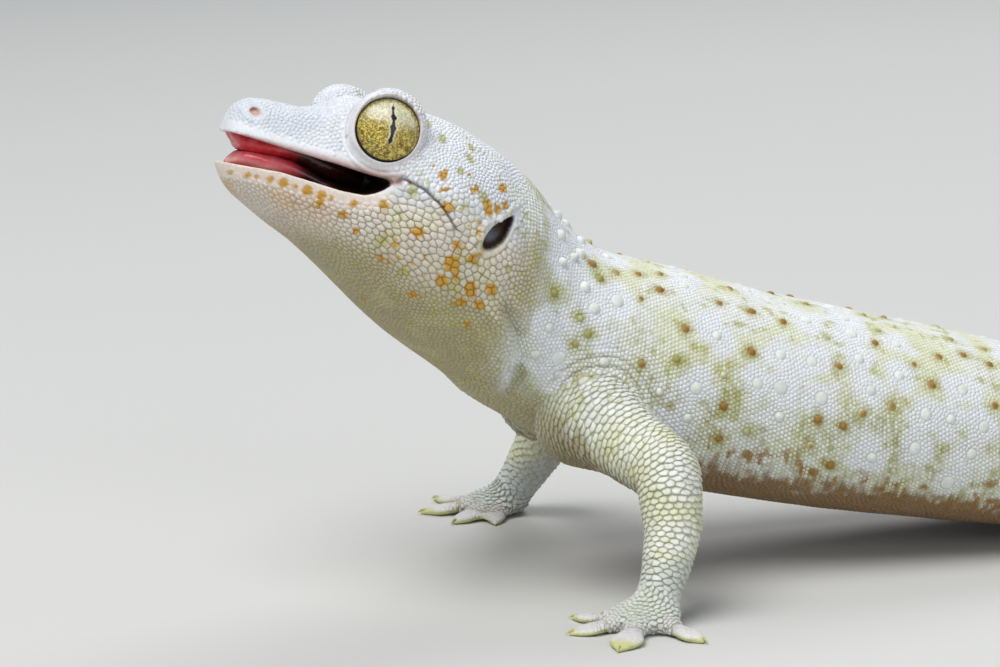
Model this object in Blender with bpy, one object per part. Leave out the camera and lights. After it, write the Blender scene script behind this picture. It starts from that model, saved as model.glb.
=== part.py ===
# Tokay gecko, life size, standing with its head raised and its mouth a little open.
# The nose points to -Y, the animal's left side is +X, and +Z is up.
# Sizes below are in millimetres, with the floor at zero, and become metres when a mesh is made.

import math
import random

import bmesh
import bpy
import numpy as np
from mathutils import Vector

MM = 0.001
GAP = 0.3
HALF_GAP = GAP / 2

# Sections of the head and trunk, from the snout to the vent. Each one gives the back point (y, z),
# the belly point (y, z), the half width, the share of the height where it is widest, and how
# square its upper and lower halves are (2 is an ellipse).
TRUNK = [
    (-37.9, 61.9, -39.3, 59.8, 1.2, 0.50, 2.0, 2.0),
    (-37.5, 63.5, -39.0, 57.6, 2.7, 0.50, 2.0, 2.0),
    (-36.8, 64.9, -38.4, 55.8, 4.0, 0.52, 2.1, 2.0),
    (-35.6, 65.9, -37.3, 54.0, 5.2, 0.53, 2.2, 2.0),
    (-33.5, 66.3, -35.4, 52.2, 6.6, 0.53, 2.4, 2.0),
    (-30.8, 66.0, -32.4, 49.6, 8.0, 0.52, 2.6, 2.0),
    (-27.2, 65.3, -28.9, 46.9, 9.5, 0.52, 2.7, 2.0),
    (-23.3, 65.0, -25.6, 43.6, 11.1, 0.52, 2.8, 2.0),
    (-19.0, 65.2, -22.2, 40.1, 12.7, 0.52, 2.9, 2.0),
    (-14.6, 64.7, -19.0, 36.9, 14.2, 0.50, 2.8, 2.1),
    (-10.3, 63.4, -16.2, 34.3, 15.4, 0.49, 2.7, 2.1),
    (-6.0, 61.4, -13.2, 32.0, 15.9, 0.48, 2.5, 2.1),
    (-2.0, 59.0, -10.3, 29.8, 15.9, 0.48, 2.3, 2.1),
    (1.2, 56.6, -7.6, 27.6, 15.4, 0.48, 2.1, 2.1),
    (4.2, 53.8, -5.2, 25.2, 14.8, 0.48, 2.1, 2.1),
    (7.2, 50.0, -2.6, 23.3, 14.2, 0.48, 2.0, 2.0),
    (10.2, 46.8, 0.8, 21.2, 14.0, 0.48, 2.0, 2.0),
    (14.2, 44.1, 5.6, 18.0, 14.6, 0.48, 2.1, 2.0),
    (19.0, 42.6, 12.0, 14.3, 15.6, 0.47, 2.1, 2.1),
    (25.0, 41.0, 20.0, 11.4, 16.4, 0.46, 2.1, 2.2),
    (32.0, 38.8, 29.3, 9.4, 16.9, 0.46, 2.1, 2.3),
    (41.0, 36.2, 39.5, 7.3, 17.4, 0.46, 2.1, 2.4),
    (52.5, 33.3, 51.8, 5.3, 17.7, 0.46, 2.1, 2.5),
    (64.0, 30.5, 63.8, 3.3, 17.6, 0.46, 2.1, 2.5),
    (76.0, 27.3, 76.0, 1.6, 17.0, 0.46, 2.1, 2.5),
    (86.0, 25.0, 86.0, 0.3, 16.0, 0.46, 2.1, 2.5),
    (94.0, 23.2, 94.0, -0.3, 14.6, 0.46, 2.1, 2.5),
    (101.0, 21.6, 101.0, -0.4, 13.2, 0.46, 2.1, 2.5),
    (107.0, 20.0, 107.0, -0.4, 12.0, 0.46, 2.1, 2.4),
    (112.0, 18.2, 112.0, -0.4, 10.8, 0.46, 2.1, 2.3),
]

# Stations where the trunk is parted, counted along the list above.
NECK_STATION = 14.0
CHEST_STATION = 17.0
TORSO_STATION = 20.6
BELLY_STATION = 23.0
PELVIS_STATION = 25.4
VENT_STATION = 29.0

HEAD_COLUMNS = 38
TRUNK_COLUMNS = 28
TAIL_COLUMNS = 18
HEAD_STEP = 0.55
TRUNK_STEP = 3.2

# The head's own frame: distance behind the snout tip, height over it, with the nose raised.
SNOUT_TIP = (0.0, -39.0, 61.0)
HEAD_PITCH = math.radians(18.0)
HEAD_ROLL = math.radians(5.5)
ROLL_HEIGHT = 4.0
ROLL_FROM = 26.0
ROLL_TO = 42.0

# Eye: the place of its centre in the head's frame (behind, height, side) and where it looks.
EYE_RADIUS = 4.6
EYE_BULGE = 3.5
EYE_PLACE = (19.15, 6.8, 10.5)
EYE_FORWARD = math.radians(16.0)
EYE_UP = math.radians(5.0)
EYE_WINDOW = 4.3
LID_RADIUS = 0.55
ORBIT_RADIUS = 5.3

NOSTRIL_PLACE = (3.2, 4.8, 5.0)
NOSTRIL_RADIUS = 0.75
EAR_PLACE = (36.3, -0.9, 16.4)
EAR_HALF_LENGTH = 3.5
EAR_HALF_WIDTH = 1.25
EAR_DEPTH = 2.8
EAR_SLANT = math.radians(56.0)

# Lines of the mouth in the head's frame, from the front to the corner (behind, height).
UPPER_LIP = [(-4.0, 2.0), (0.2, 1.5), (7.0, 1.2), (14.0, 1.0), (19.0, 0.9), (21.2, 0.7)]
LOWER_LIP = [(-4.0, -3.6), (0.7, -2.6), (7.9, -1.9), (15.4, -1.7), (19.2, -1.0), (21.2, 0.2)]
LIP_RADIUS = 0.55
LIP_INSET = 0.42
LIP_PLACES = [20.4, 17.5, 14.0, 10.5, 7.4, 5.0, 3.2, 2.1]
# How far behind the snout tip each lip's roll starts, and its height over the jaw's cut edge.
UPPER_LIP_FRONT = 1.5
LOWER_LIP_FRONT = 0.9
UPPER_LIP_LIFT = 0.35
LOWER_LIP_LIFT = -0.40
THROAT_CUT = (32.0, -31.0)
# The slabs that part the jaws reach this far ahead, below and to each side.
CUT_AHEAD = -20.0
CUT_BELOW = -45.0
CUT_SIDE = 30.0
# Hollows of the mouth: centre (behind, height), then half length, half height and half width.
PALATE = ((10.5, 1.3), (10.0, 1.9, 6.2))
MOUTH_FLOOR = ((10.5, -2.2), (10.0, 2.0, 6.2))
TONGUE_FROM = 2.6
TONGUE_TO = 17.0
TONGUE_HEIGHT = -2.5
TONGUE_HALF_WIDTH = 4.3
TONGUE_HALF_THICKNESS = 0.8
TONGUE_COLUMNS = 14
TONGUE_STEPS = 9

TAIL_LENGTH = 142.0
TAIL_SWING = math.radians(32.0)
TAIL_PARTS = 4
TAIL_STEP = 4.7
# Share of the tail's length, half width, height.
TAIL = [
    (0.00, 10.5, 18.2),
    (0.04, 8.6, 15.6),
    (0.10, 7.5, 13.2),
    (0.22, 6.9, 11.8),
    (0.40, 5.6, 9.6),
    (0.60, 4.1, 7.2),
    (0.80, 2.6, 4.6),
    (0.94, 1.4, 2.6),
    (1.00, 0.6, 1.2),
]

TUBERCLE_INSET = 0.85
TUBERCLE_HEIGHT = 1.0
TUBERCLE_SKIP = 0.12

# Limbs: points from inside the body to the wrist or ankle (x, y, z) with the radius there.
ARM_LEFT = [
    (6.0, 9.0, 24.0, 8.6),
    (13.0, 9.8, 23.0, 7.0),
    (20.0, 12.2, 20.9, 5.2),
    (25.8, 15.0, 17.6, 4.7),
    (28.0, 14.9, 12.8, 4.2),
    (29.8, 13.6, 8.2, 3.6),
    (31.2, 12.2, 4.6, 3.3),
]
ARM_RIGHT = [
    (-6.0, 9.0, 24.0, 8.6),
    (-13.0, 10.2, 22.6, 7.0),
    (-20.0, 13.2, 19.9, 5.2),
    (-25.2, 16.0, 16.0, 4.7),
    (-27.4, 15.0, 11.6, 4.2),
    (-29.0, 13.4, 7.8, 3.6),
    (-30.4, 12.0, 4.6, 3.3),
]
LEG_LEFT = [
    (5.0, 102.0, 11.5, 8.6),
    (14.0, 98.4, 12.3, 7.8),
    (23.5, 93.8, 13.2, 6.2),
    (31.5, 91.0, 12.9, 4.9),
    (36.0, 95.5, 10.6, 4.6),
    (39.0, 102.5, 7.4, 3.9),
    (41.0, 108.0, 4.8, 3.4),
]
LEG_RIGHT = [
    (-5.0, 102.0, 11.5, 8.6),
    (-14.0, 97.6, 12.3, 7.8),
    (-24.0, 91.0, 13.0, 6.2),
    (-31.0, 85.5, 12.6, 4.9),
    (-36.0, 89.0, 10.6, 4.6),
    (-39.5, 95.5, 7.4, 3.9),
    (-42.0, 100.5, 4.8, 3.4),
]
LIMB_COLUMNS = 14
LIMB_STEP = 2.8
LIMB_FLATNESS = 0.94
ROOT_SHARE = 0.12
ELBOW_SHARE = 0.50
WRIST_SHARE = 0.93
WRIST_DEPTH = 1.8
WRIST_LOWEST = 0.3

# Hands and feet: palm centre (x, y), palm half sizes and each digit's direction (degrees from +X
# towards +Y), length from the palm's centre, and half width of its pad. The first has no claw.
HAND_LEFT = (
    (33.0, 9.6),
    (4.9, 4.9, 2.3),
    [(-160, 9.4, 1.8), (-128, 10.6, 2.1), (-86, 11.2, 2.2), (-36, 12.8, 2.4), (26, 11.0, 2.0)],
)
HAND_RIGHT = (
    (-32.2, 9.6),
    (4.9, 4.9, 2.3),
    [(-20, 9.4, 1.8), (-56, 10.8, 2.1), (-98, 12.0, 2.2), (-142, 12.2, 2.3), (160, 11.0, 2.0)],
)
FOOT_LEFT = (
    (43.0, 110.0),
    (5.3, 5.5, 2.4),
    [(-112, 10.5, 1.8), (-76, 12.0, 2.1), (-38, 13.8, 2.3), (2, 14.4, 2.4), (58, 12.4, 2.1)],
)
FOOT_RIGHT = (
    (-44.0, 102.6),
    (5.3, 5.5, 2.4),
    [(-66, 10.5, 1.8), (-103, 12.0, 2.1), (-142, 13.8, 2.3), (178, 14.4, 2.4), (122, 12.4, 2.1)],
)
DIGIT_COLUMNS = 8
# Share of a digit's length, share of the pad's half width, height of its back.
DIGIT = [
    (0.18, 0.82, 2.5),
    (0.42, 0.70, 2.1),
    (0.56, 0.90, 1.8),
    (0.72, 1.00, 1.5),
    (0.87, 0.72, 1.2),
    (0.97, 0.34, 0.9),
]
DIGIT_LEVEL = 0.45
PALM_LIFT = 0.72
CLAW_START = 0.84
CLAW_REACH = 1.8
CLAW_RADIUS = 0.38
CLAW_HEIGHT = 0.85
CLAW_STEPS = 3

COLOURS = {
    "skin": ((0.80, 0.80, 0.72, 1.0), 0.55),
    "limb": ((0.78, 0.80, 0.62, 1.0), 0.55),
    "mouth": ((0.72, 0.16, 0.20, 1.0), 0.30),
    "eye": ((0.55, 0.50, 0.16, 1.0), 0.08),
}


def slopes(knots, values):
    # Slopes of a smooth line through the values that never overshoots them.
    step = np.diff(knots)
    rise = np.diff(values) / step
    slope = np.zeros(len(values))
    slope[0] = rise[0]
    slope[-1] = rise[-1]
    for i in range(1, len(values) - 1):
        if rise[i - 1] * rise[i] > 0:
            before = 2 * step[i] + step[i - 1]
            after = step[i] + 2 * step[i - 1]
            slope[i] = (before + after) / (before / rise[i - 1] + after / rise[i])
    return slope


def smooth(knots, values, at):
    knots = np.asarray(knots, float)
    values = np.asarray(values, float)
    slope = slopes(knots, values)
    i = int(np.clip(np.searchsorted(knots, at) - 1, 0, len(knots) - 2))
    width = knots[i + 1] - knots[i]
    t = (at - knots[i]) / width
    return (
        (2 * t**3 - 3 * t**2 + 1) * values[i]
        + (t**3 - 2 * t**2 + t) * width * slope[i]
        + (-2 * t**3 + 3 * t**2) * values[i + 1]
        + (t**3 - t**2) * width * slope[i + 1]
    )


def ease(start, end, at):
    t = min(max((at - start) / (end - start), 0.0), 1.0)
    return t * t * (3 - 2 * t)


def bump(distance, width):
    return math.exp(-((distance / width) ** 2))


def squared(value, power):
    return math.copysign(abs(value) ** (2 / power), value)


# Solids

def makeObject(name, bm, finish):
    bm.normal_update()
    bmesh.ops.recalc_face_normals(bm, faces=bm.faces[:])
    mesh = bpy.data.meshes.new(name)
    bm.to_mesh(mesh)
    bm.free()
    mesh.shade_smooth()
    made = bpy.data.objects.new(name, mesh)
    bpy.context.scene.collection.objects.link(made)
    material = bpy.data.materials.new(name)
    material.use_nodes = True
    shader = material.node_tree.nodes["Principled BSDF"]
    colour, roughness = COLOURS[finish]
    shader.inputs["Base Color"].default_value = colour
    shader.inputs["Roughness"].default_value = roughness
    shader.inputs["Metallic"].default_value = 0.0
    mesh.materials.append(material)
    return made


def loft(rings, raised=()):
    # A closed solid through rings of points in millimetres, with a fan on each end.
    # raised holds the (ring, column) squares that carry a tubercle.
    bm = bmesh.new()
    rows = [[bm.verts.new(Vector(point) * MM) for point in ring] for ring in rings]
    count = len(rows[0])
    squares = {}
    for i in range(len(rows) - 1):
        for j in range(count):
            k = (j + 1) % count
            corners = (rows[i][j], rows[i][k], rows[i + 1][k], rows[i + 1][j])
            squares[i, j] = bm.faces.new(corners)
    for row in (rows[0], rows[-1]):
        middle = sum((v.co for v in row), Vector()) / count
        tip = bm.verts.new(middle)
        for j in range(count):
            bm.faces.new((row[j], row[(j + 1) % count], tip))
    bm.normal_update()
    bmesh.ops.recalc_face_normals(bm, faces=bm.faces[:])
    for spot in raised:
        square = squares[spot]
        inset = min(TUBERCLE_INSET * MM, math.sqrt(square.calc_area()) * 0.27)
        bmesh.ops.inset_individual(bm, faces=[square], thickness=inset)
        height = min(TUBERCLE_HEIGHT * MM, math.sqrt(square.calc_area()) * 0.62)
        bmesh.ops.poke(bm, faces=[square], offset=height)
    return bm


def applyModifiers(made):
    depsgraph = bpy.context.evaluated_depsgraph_get()
    mesh = bpy.data.meshes.new_from_object(made.evaluated_get(depsgraph))
    made.modifiers.clear()
    made.data = mesh


def keepLargest(made):
    # Keeps the largest closed surface, counted over faces that share an edge.
    bm = bmesh.new()
    bm.from_mesh(made.data)
    left = set(bm.faces)
    groups = []
    while left:
        stack = [left.pop()]
        group = set(stack)
        while stack:
            for edge in stack.pop().edges:
                for face in edge.link_faces:
                    if face in left:
                        left.discard(face)
                        group.add(face)
                        stack.append(face)
        groups.append(group)
    largest = max(groups, key=len)
    spare = [face for face in bm.faces if face not in largest]
    bmesh.ops.delete(bm, geom=spare, context="FACES")
    bm.to_mesh(made.data)
    bm.free()


def combine(made, others, operation, solver="EXACT"):
    # Joins the other closed objects to this one, cuts them from it, or keeps what they share.
    group = bpy.data.collections.new("pieces")
    bpy.context.scene.collection.children.link(group)
    for other in others:
        other.hide_render = True
        other.display_type = "WIRE"
        group.objects.link(other)
    boolean = made.modifiers.new("join", "BOOLEAN")
    boolean.operation = operation
    boolean.solver = solver
    boolean.operand_type = "COLLECTION"
    boolean.collection = group
    applyModifiers(made)
    for other in others:
        bpy.data.objects.remove(other)
    bpy.data.collections.remove(group)
    keepLargest(made)


# Head and trunk surface

def section(station):
    knots = range(len(TRUNK))
    return [smooth(knots, [row[i] for row in TRUNK], station) for i in range(8)]


def trunkPoint(station, angle, grow=0.0):
    backY, backZ, bellyY, bellyZ, width, level, squareTop, squareLow = section(station)
    back = Vector((0.0, backY, backZ))
    belly = Vector((0.0, bellyY, bellyZ))
    middle = belly.lerp(back, level)
    upper = back - middle
    lower = belly - middle
    power = squareTop if math.sin(angle) > 0 else squareLow
    side = squared(math.cos(angle), power)
    rise = squared(math.sin(angle), power)
    reach = upper if rise > 0 else lower
    point = middle + reach * (abs(rise) * (1 + grow / reach.length))
    point.x = side * (width + grow)
    return point


def trunkRing(station, columns, grow=0.0):
    ring = []
    for j in range(columns):
        point = trunkPoint(station, 2 * math.pi * (j + 0.5) / columns, grow)
        point.z = max(point.z, 0.0)
        ring.append(point)
    return ring


def stationAfter(station, distance):
    # The station that lies this far further back along the middle of the body.
    here = section(station)
    beyond = section(station + 0.05)
    rise = math.hypot(
        (beyond[0] + beyond[2] - here[0] - here[2]) / 2,
        (beyond[1] + beyond[3] - here[1] - here[3]) / 2,
    )
    return station + 0.05 * distance / rise


def trunkStations(start, end, step):
    start = stationAfter(start, HALF_GAP)
    end = stationAfter(end, -HALF_GAP)
    stations = [start]
    while stations[-1] < end:
        stations.append(stationAfter(stations[-1], step))
    scale = (end - start) / (stations[-1] - start)
    return [start + (station - start) * scale for station in stations]


def tubercleSpots(rings, columns, first, last, draw):
    # Every other square of the back, staggered from ring to ring, with a few left out.
    spots = []
    for i in range(1, rings - 2):
        for j in range(first, last):
            if (i + j) % 2 == 0 and draw.random() > TUBERCLE_SKIP:
                spots.append((i, j % columns))
    return spots


def makeTrunkPart(name, start, end, draw, lowest):
    # The tubercles start this many squares up from each flank.
    stations = trunkStations(start, end, TRUNK_STEP)
    rings = [trunkRing(station, TRUNK_COLUMNS) for station in stations]
    first = lowest
    last = TRUNK_COLUMNS // 2 - lowest
    spots = tubercleSpots(len(rings), TRUNK_COLUMNS, first, last, draw)
    return makeObject(name, loft(rings, spots), "skin")


# Head

def headAxes():
    behind = Vector((0.0, math.cos(HEAD_PITCH), -math.sin(HEAD_PITCH)))
    above = Vector((0.0, math.sin(HEAD_PITCH), math.cos(HEAD_PITCH)))
    return behind, above


def fromHead(behind, above, side):
    backward, upward = headAxes()
    point = Vector(SNOUT_TIP) + backward * behind + upward * above
    point.x = side
    return point


def toHead(point):
    backward, upward = headAxes()
    offset = point - Vector(SNOUT_TIP)
    return offset.dot(backward), offset.dot(upward), point.x


def rolled(point):
    # The head is tipped a little to its right, and the neck takes up the turn.
    behind, above, side = toHead(point)
    angle = HEAD_ROLL * (1 - ease(ROLL_FROM, ROLL_TO, behind))
    height = above - ROLL_HEIGHT
    turnedSide = side * math.cos(angle) - height * math.sin(angle)
    turnedHeight = side * math.sin(angle) + height * math.cos(angle)
    return fromHead(behind, turnedHeight + ROLL_HEIGHT, turnedSide)


def rollMesh(made):
    for vert in made.data.vertices:
        vert.co = rolled(vert.co / MM) * MM


def sculptHead(point):
    # Brows, the hollow between them, the hollow cheeks before the eyes and the jaw muscles.
    behind, above, side = toHead(point)
    outward = abs(side)
    sign = 1.0 if side > 0 else -1.0
    if above > 5.0:
        browLength = 8.0 if behind < 17.6 else 5.2
        brow = 2.4 * bump(behind - 17.6, browLength) * bump(outward - 9.4, 3.4)
        ridge = 5.0 + 0.33 * behind
        canthus = 0.6 * bump(behind - 9.0, 5.0) * bump(outward - ridge, 1.8)
        hollow = 0.8 * bump(behind - 15.0, 8.0) * bump(outward, 3.6)
        snout = 0.4 * bump(behind - 3.0, 3.0) * bump(outward - 2.6, 2.2)
        above += brow - hollow + snout + canthus
    if outward > 3.0:
        cheek = -1.0 * bump(behind - 10.0, 5.0) * bump(above - 5.2, 2.4)
        muscle = 0.9 * bump(behind - 28.5, 6.0) * bump(above - 0.0, 6.0)
        temple = -0.7 * bump(behind - 27.0, 4.0) * bump(above - 8.5, 2.5)
        side += sign * (cheek + muscle + temple)
    return fromHead(behind, above, side)


def makeWholeHead(name):
    stations = []
    station = 0.0
    end = stationAfter(NECK_STATION, -HALF_GAP)
    while station < end - HEAD_STEP / 2:
        stations.append(station)
        station += HEAD_STEP
    stations.append(end)
    rings = []
    for station in stations:
        rings.append([sculptHead(point) for point in trunkRing(station, HEAD_COLUMNS)])
    return makeObject(name, loft(rings), "skin")


def sideCutter(name, outline):
    # A slab right across the head whose side view is the outline, in the head's frame.
    bm = bmesh.new()
    rows = []
    for side in (-CUT_SIDE, CUT_SIDE):
        points = [fromHead(behind, above, side) for behind, above in outline]
        rows.append([bm.verts.new(point * MM) for point in points])
    count = len(outline)
    for row in rows:
        bm.faces.new(row)
    for j in range(count):
        k = (j + 1) % count
        bm.faces.new((rows[0][j], rows[0][k], rows[1][k], rows[1][j]))
    return makeObject(name, bm, "mouth")


def makeBall(name, place, radii, turn=None, finish="skin", rings=10):
    # An ellipsoid in the head's frame: radii along the head, up and across it.
    bm = bmesh.new()
    bmesh.ops.create_uvsphere(bm, u_segments=rings * 2, v_segments=rings, radius=1.0)
    backward, upward = headAxes()
    centre = fromHead(*place)
    if turn is None:
        turn = (backward, upward, Vector((1.0, 0.0, 0.0)))
    for vert in bm.verts:
        local = vert.co.copy()
        shifted = turn[0] * (local.x * radii[0]) + turn[1] * (local.y * radii[1])
        vert.co = (centre + shifted + turn[2] * (local.z * radii[2])) * MM
    return makeObject(name, bm, finish)


def eyeAxes(sign):
    backward, upward = headAxes()
    outward = Vector((sign, 0.0, 0.0))
    look = outward * math.cos(EYE_FORWARD) - backward * math.sin(EYE_FORWARD)
    look = look * math.cos(EYE_UP) + upward * math.sin(EYE_UP)
    look.normalize()
    across = look.cross(upward).normalized()
    return across, across.cross(look).normalized(), look


def makeLids(name, sign):
    # The raised rim of scales round the eye's window.
    across, over, look = eyeAxes(sign)
    centre = fromHead(EYE_PLACE[0], EYE_PLACE[1], EYE_PLACE[2] * sign)
    centre += look * (EYE_BULGE * math.sqrt(1 - (EYE_WINDOW / EYE_RADIUS) ** 2))
    turns = 24
    sides = 6
    rings = []
    for i in range(turns):
        angle = 2 * math.pi * i / turns
        spoke = across * math.cos(angle) + over * math.sin(angle)
        ring = []
        for j in range(sides):
            around = 2 * math.pi * j / sides
            outwards = EYE_WINDOW + LID_RADIUS * (0.6 + math.cos(around))
            ring.append(centre + spoke * outwards + look * (LID_RADIUS * math.sin(around)))
        rings.append(ring)
    bm = bmesh.new()
    rows = [[bm.verts.new(point * MM) for point in ring] for ring in rings]
    for i in range(turns):
        following = rows[(i + 1) % turns]
        for j in range(sides):
            k = (j + 1) % sides
            bm.faces.new((rows[i][j], rows[i][k], following[k], following[j]))
    return makeObject(name, bm, "skin")


def widthAt(point):
    # Half width of the head where a point of its middle plane lies.
    best = min(
        np.arange(0.0, NECK_STATION, 0.02),
        key=lambda station: offSection(station, point),
    )
    backY, backZ, bellyY, bellyZ, width, level, squareTop, squareLow = section(best)
    back = Vector((0.0, backY, backZ))
    belly = Vector((0.0, bellyY, bellyZ))
    middle = belly.lerp(back, level)
    height = (point - middle).dot((back - belly).normalized())
    reach = (back - middle).length if height > 0 else (belly - middle).length
    power = squareTop if height > 0 else squareLow
    share = min(abs(height) / reach, 1.0)
    return width * (1 - share**power) ** (1 / power)


def offSection(station, point):
    backY, backZ, bellyY, bellyZ = section(station)[:4]
    direction = Vector((0.0, backY - bellyY, backZ - bellyZ)).normalized()
    offset = point - Vector((0.0, bellyY, bellyZ))
    return abs(offset.y * direction.z - offset.z * direction.y)


def makeLip(name, line, lift, foremost):
    # A roll of skin that follows the edge of one jaw round the front of the mouth.
    knots = [row[0] for row in line]
    heights = [row[1] for row in line]
    path = []
    for behind in LIP_PLACES:
        above = smooth(knots, heights, behind) + lift
        side = widthAt(fromHead(behind, above, 0.0)) - LIP_INSET
        path.append(sculptHead(fromHead(behind, above, side)))
    front = fromHead(foremost, smooth(knots, heights, foremost) + lift, 0.0)
    path.append(front)
    path += [Vector((-p.x, p.y, p.z)) for p in reversed(path[:-1])]
    return makeObject(name, loft(tube(path, [LIP_RADIUS] * len(path), 6)), "skin")


def crossRing(point, along, side, radius, columns, flat):
    # A ring round the point, square to the direction along.
    side = (side - along * side.dot(along)).normalized()
    over = side.cross(along)
    ring = []
    for j in range(columns):
        angle = 2 * math.pi * (j + 0.5) / columns
        offset = side * math.cos(angle) + over * (math.sin(angle) * flat)
        ring.append(point + offset * radius)
    return ring


def tube(path, radii, columns):
    # Rings of a tube along the path.
    rings = []
    for i, point in enumerate(path):
        before = path[max(i - 1, 0)]
        after = path[min(i + 1, len(path) - 1)]
        along = (after - before).normalized()
        side = along.cross(Vector((0.0, 0.0, 1.0)))
        rings.append(crossRing(point, along, side, radii[i], columns, 1.0))
    return rings


def makeHead():
    head = makeWholeHead("head")
    jaw = makeWholeHead("lower_jaw")

    corner = UPPER_LIP[-1]
    farLow = (CUT_AHEAD, CUT_BELOW)
    outline = [(CUT_AHEAD, UPPER_LIP[0][1])] + UPPER_LIP
    outline += [THROAT_CUT, (THROAT_CUT[0] + 4.0, CUT_BELOW), farLow]
    underHead = sideCutter("under_head", outline)

    # The jaw's hind edge runs beside the head's, a gap further forward.
    reach = Vector((THROAT_CUT[0] - corner[0], THROAT_CUT[1] - corner[1])).normalized()
    forward = GAP * abs(reach.y)
    jawThroat = (THROAT_CUT[0] - forward, THROAT_CUT[1])
    outline = [(CUT_AHEAD, LOWER_LIP[0][1])] + LOWER_LIP[:-1]
    outline += [(LOWER_LIP[-1][0] - forward, LOWER_LIP[-1][1]), jawThroat]
    outline += [(jawThroat[0] + 4.0, CUT_BELOW), farLow]
    jawSpace = sideCutter("jaw_space", outline)

    additions = [makeLip("lip_upper", UPPER_LIP, UPPER_LIP_LIFT, UPPER_LIP_FRONT)]
    cutters = [underHead]
    for sign in (1, -1):
        place = (EYE_PLACE[0], EYE_PLACE[1], EYE_PLACE[2] * sign)
        axes = eyeAxes(sign)
        orbit = (ORBIT_RADIUS, ORBIT_RADIUS, EYE_BULGE)
        additions.append(makeBall("orbit", place, orbit, axes, rings=8))
        additions.append(makeLids("lids", sign))
        socket = (EYE_RADIUS + GAP, EYE_RADIUS + GAP, EYE_BULGE + GAP)
        cutters.append(makeBall("socket", place, socket, axes, rings=9))
        place = (NOSTRIL_PLACE[0], NOSTRIL_PLACE[1], NOSTRIL_PLACE[2] * sign)
        radii = (NOSTRIL_RADIUS, NOSTRIL_RADIUS * 0.8, NOSTRIL_RADIUS * 1.5)
        cutters.append(makeBall("nostril", place, radii, rings=6))
        backward, upward = headAxes()
        lengthwise = backward * math.cos(EAR_SLANT) + upward * math.sin(EAR_SLANT)
        crosswise = upward * math.cos(EAR_SLANT) - backward * math.sin(EAR_SLANT)
        place = (EAR_PLACE[0], EAR_PLACE[1], EAR_PLACE[2] * sign)
        radii = (EAR_HALF_LENGTH, EAR_HALF_WIDTH, EAR_DEPTH)
        axes = (lengthwise, crosswise, Vector((1.0, 0.0, 0.0)))
        cutters.append(makeBall("ear", place, radii, axes, rings=8))
    cutters.append(makeBall("palate", (*PALATE[0], 0.0), PALATE[1], rings=8))
    combine(head, additions, "UNION", "MANIFOLD")
    combine(head, cutters, "DIFFERENCE", "MANIFOLD")

    combine(jaw, [jawSpace], "INTERSECT")
    lowerLip = makeLip("lip_lower", LOWER_LIP, LOWER_LIP_LIFT, LOWER_LIP_FRONT)
    combine(jaw, [lowerLip], "UNION")
    mouthFloor = makeBall("floor", (*MOUTH_FLOOR[0], 0.0), MOUTH_FLOOR[1], rings=8)
    combine(jaw, [mouthFloor], "DIFFERENCE")
    return [head, jaw]


def makeTongue():
    rings = []
    for i in range(TONGUE_STEPS + 1):
        share = 0.02 + 0.96 * i / TONGUE_STEPS
        behind = TONGUE_FROM + (TONGUE_TO - TONGUE_FROM) * share
        width = TONGUE_HALF_WIDTH * math.sin(math.pi * share**0.8) ** 0.55
        rise = TONGUE_HALF_THICKNESS * math.sin(math.pi * share) ** 0.6
        ring = []
        for j in range(TONGUE_COLUMNS):
            angle = 2 * math.pi * (j + 0.5) / TONGUE_COLUMNS
            height = TONGUE_HEIGHT + rise * squared(math.sin(angle), 2.4)
            ring.append(fromHead(behind, height, width * math.cos(angle)))
        rings.append(ring)
    return makeObject("tongue", loft(rings), "mouth")


def makeEyes():
    eyes = []
    for name, sign in (("eye_left", 1), ("eye_right", -1)):
        place = (EYE_PLACE[0], EYE_PLACE[1], EYE_PLACE[2] * sign)
        radii = (EYE_RADIUS, EYE_RADIUS, EYE_BULGE)
        eyes.append(makeBall(name, place, radii, eyeAxes(sign), "eye", rings=9))
    return eyes


# Tail

def tailAxis(distance):
    # The tail swings to one side and back as it runs along the floor.
    steps = 60
    x = 0.0
    y = TRUNK[-1][0]
    for i in range(steps):
        along = distance * (i + 0.5) / steps
        heading = tailHeading(along)
        x += math.sin(heading) * distance / steps
        y += math.cos(heading) * distance / steps
    return x, y


def tailHeading(distance):
    return TAIL_SWING * math.sin(1.5 * math.pi * distance / TAIL_LENGTH)


def tailRing(distance):
    share = distance / TAIL_LENGTH
    knots = [row[0] for row in TAIL]
    width = smooth(knots, [row[1] for row in TAIL], share)
    height = smooth(knots, [row[2] for row in TAIL], share)
    heading = tailHeading(distance)
    x, y = tailAxis(distance)
    ring = []
    for j in range(TAIL_COLUMNS):
        angle = 2 * math.pi * (j + 0.5) / TAIL_COLUMNS
        power = 2.1 if math.sin(angle) > 0 else 2.5
        side = width * squared(math.cos(angle), power)
        middle = 0.46 * height
        up = height - middle if math.sin(angle) > 0 else middle + 0.05 * height
        rise = middle + up * squared(math.sin(angle), power)
        across = side * math.cos(heading)
        along = -side * math.sin(heading)
        ring.append(Vector((x + across, y + along, max(rise, 0.0))))
    return ring


def makeTail(draw):
    parts = []
    length = TAIL_LENGTH / TAIL_PARTS
    for part in range(TAIL_PARTS):
        start = part * length + HALF_GAP
        end = (part + 1) * length - HALF_GAP
        steps = round(length / TAIL_STEP)
        distances = [start + (end - start) * i / steps for i in range(steps + 1)]
        rings = [tailRing(distance) for distance in distances]
        spots = []
        if part < TAIL_PARTS - 1:
            spots = tubercleSpots(len(rings), TAIL_COLUMNS, 1, TAIL_COLUMNS // 2 - 1, draw)
        parts.append(makeObject(f"tail_{part + 1}", loft(rings, spots), "skin"))
    return parts


# Limbs

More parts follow.
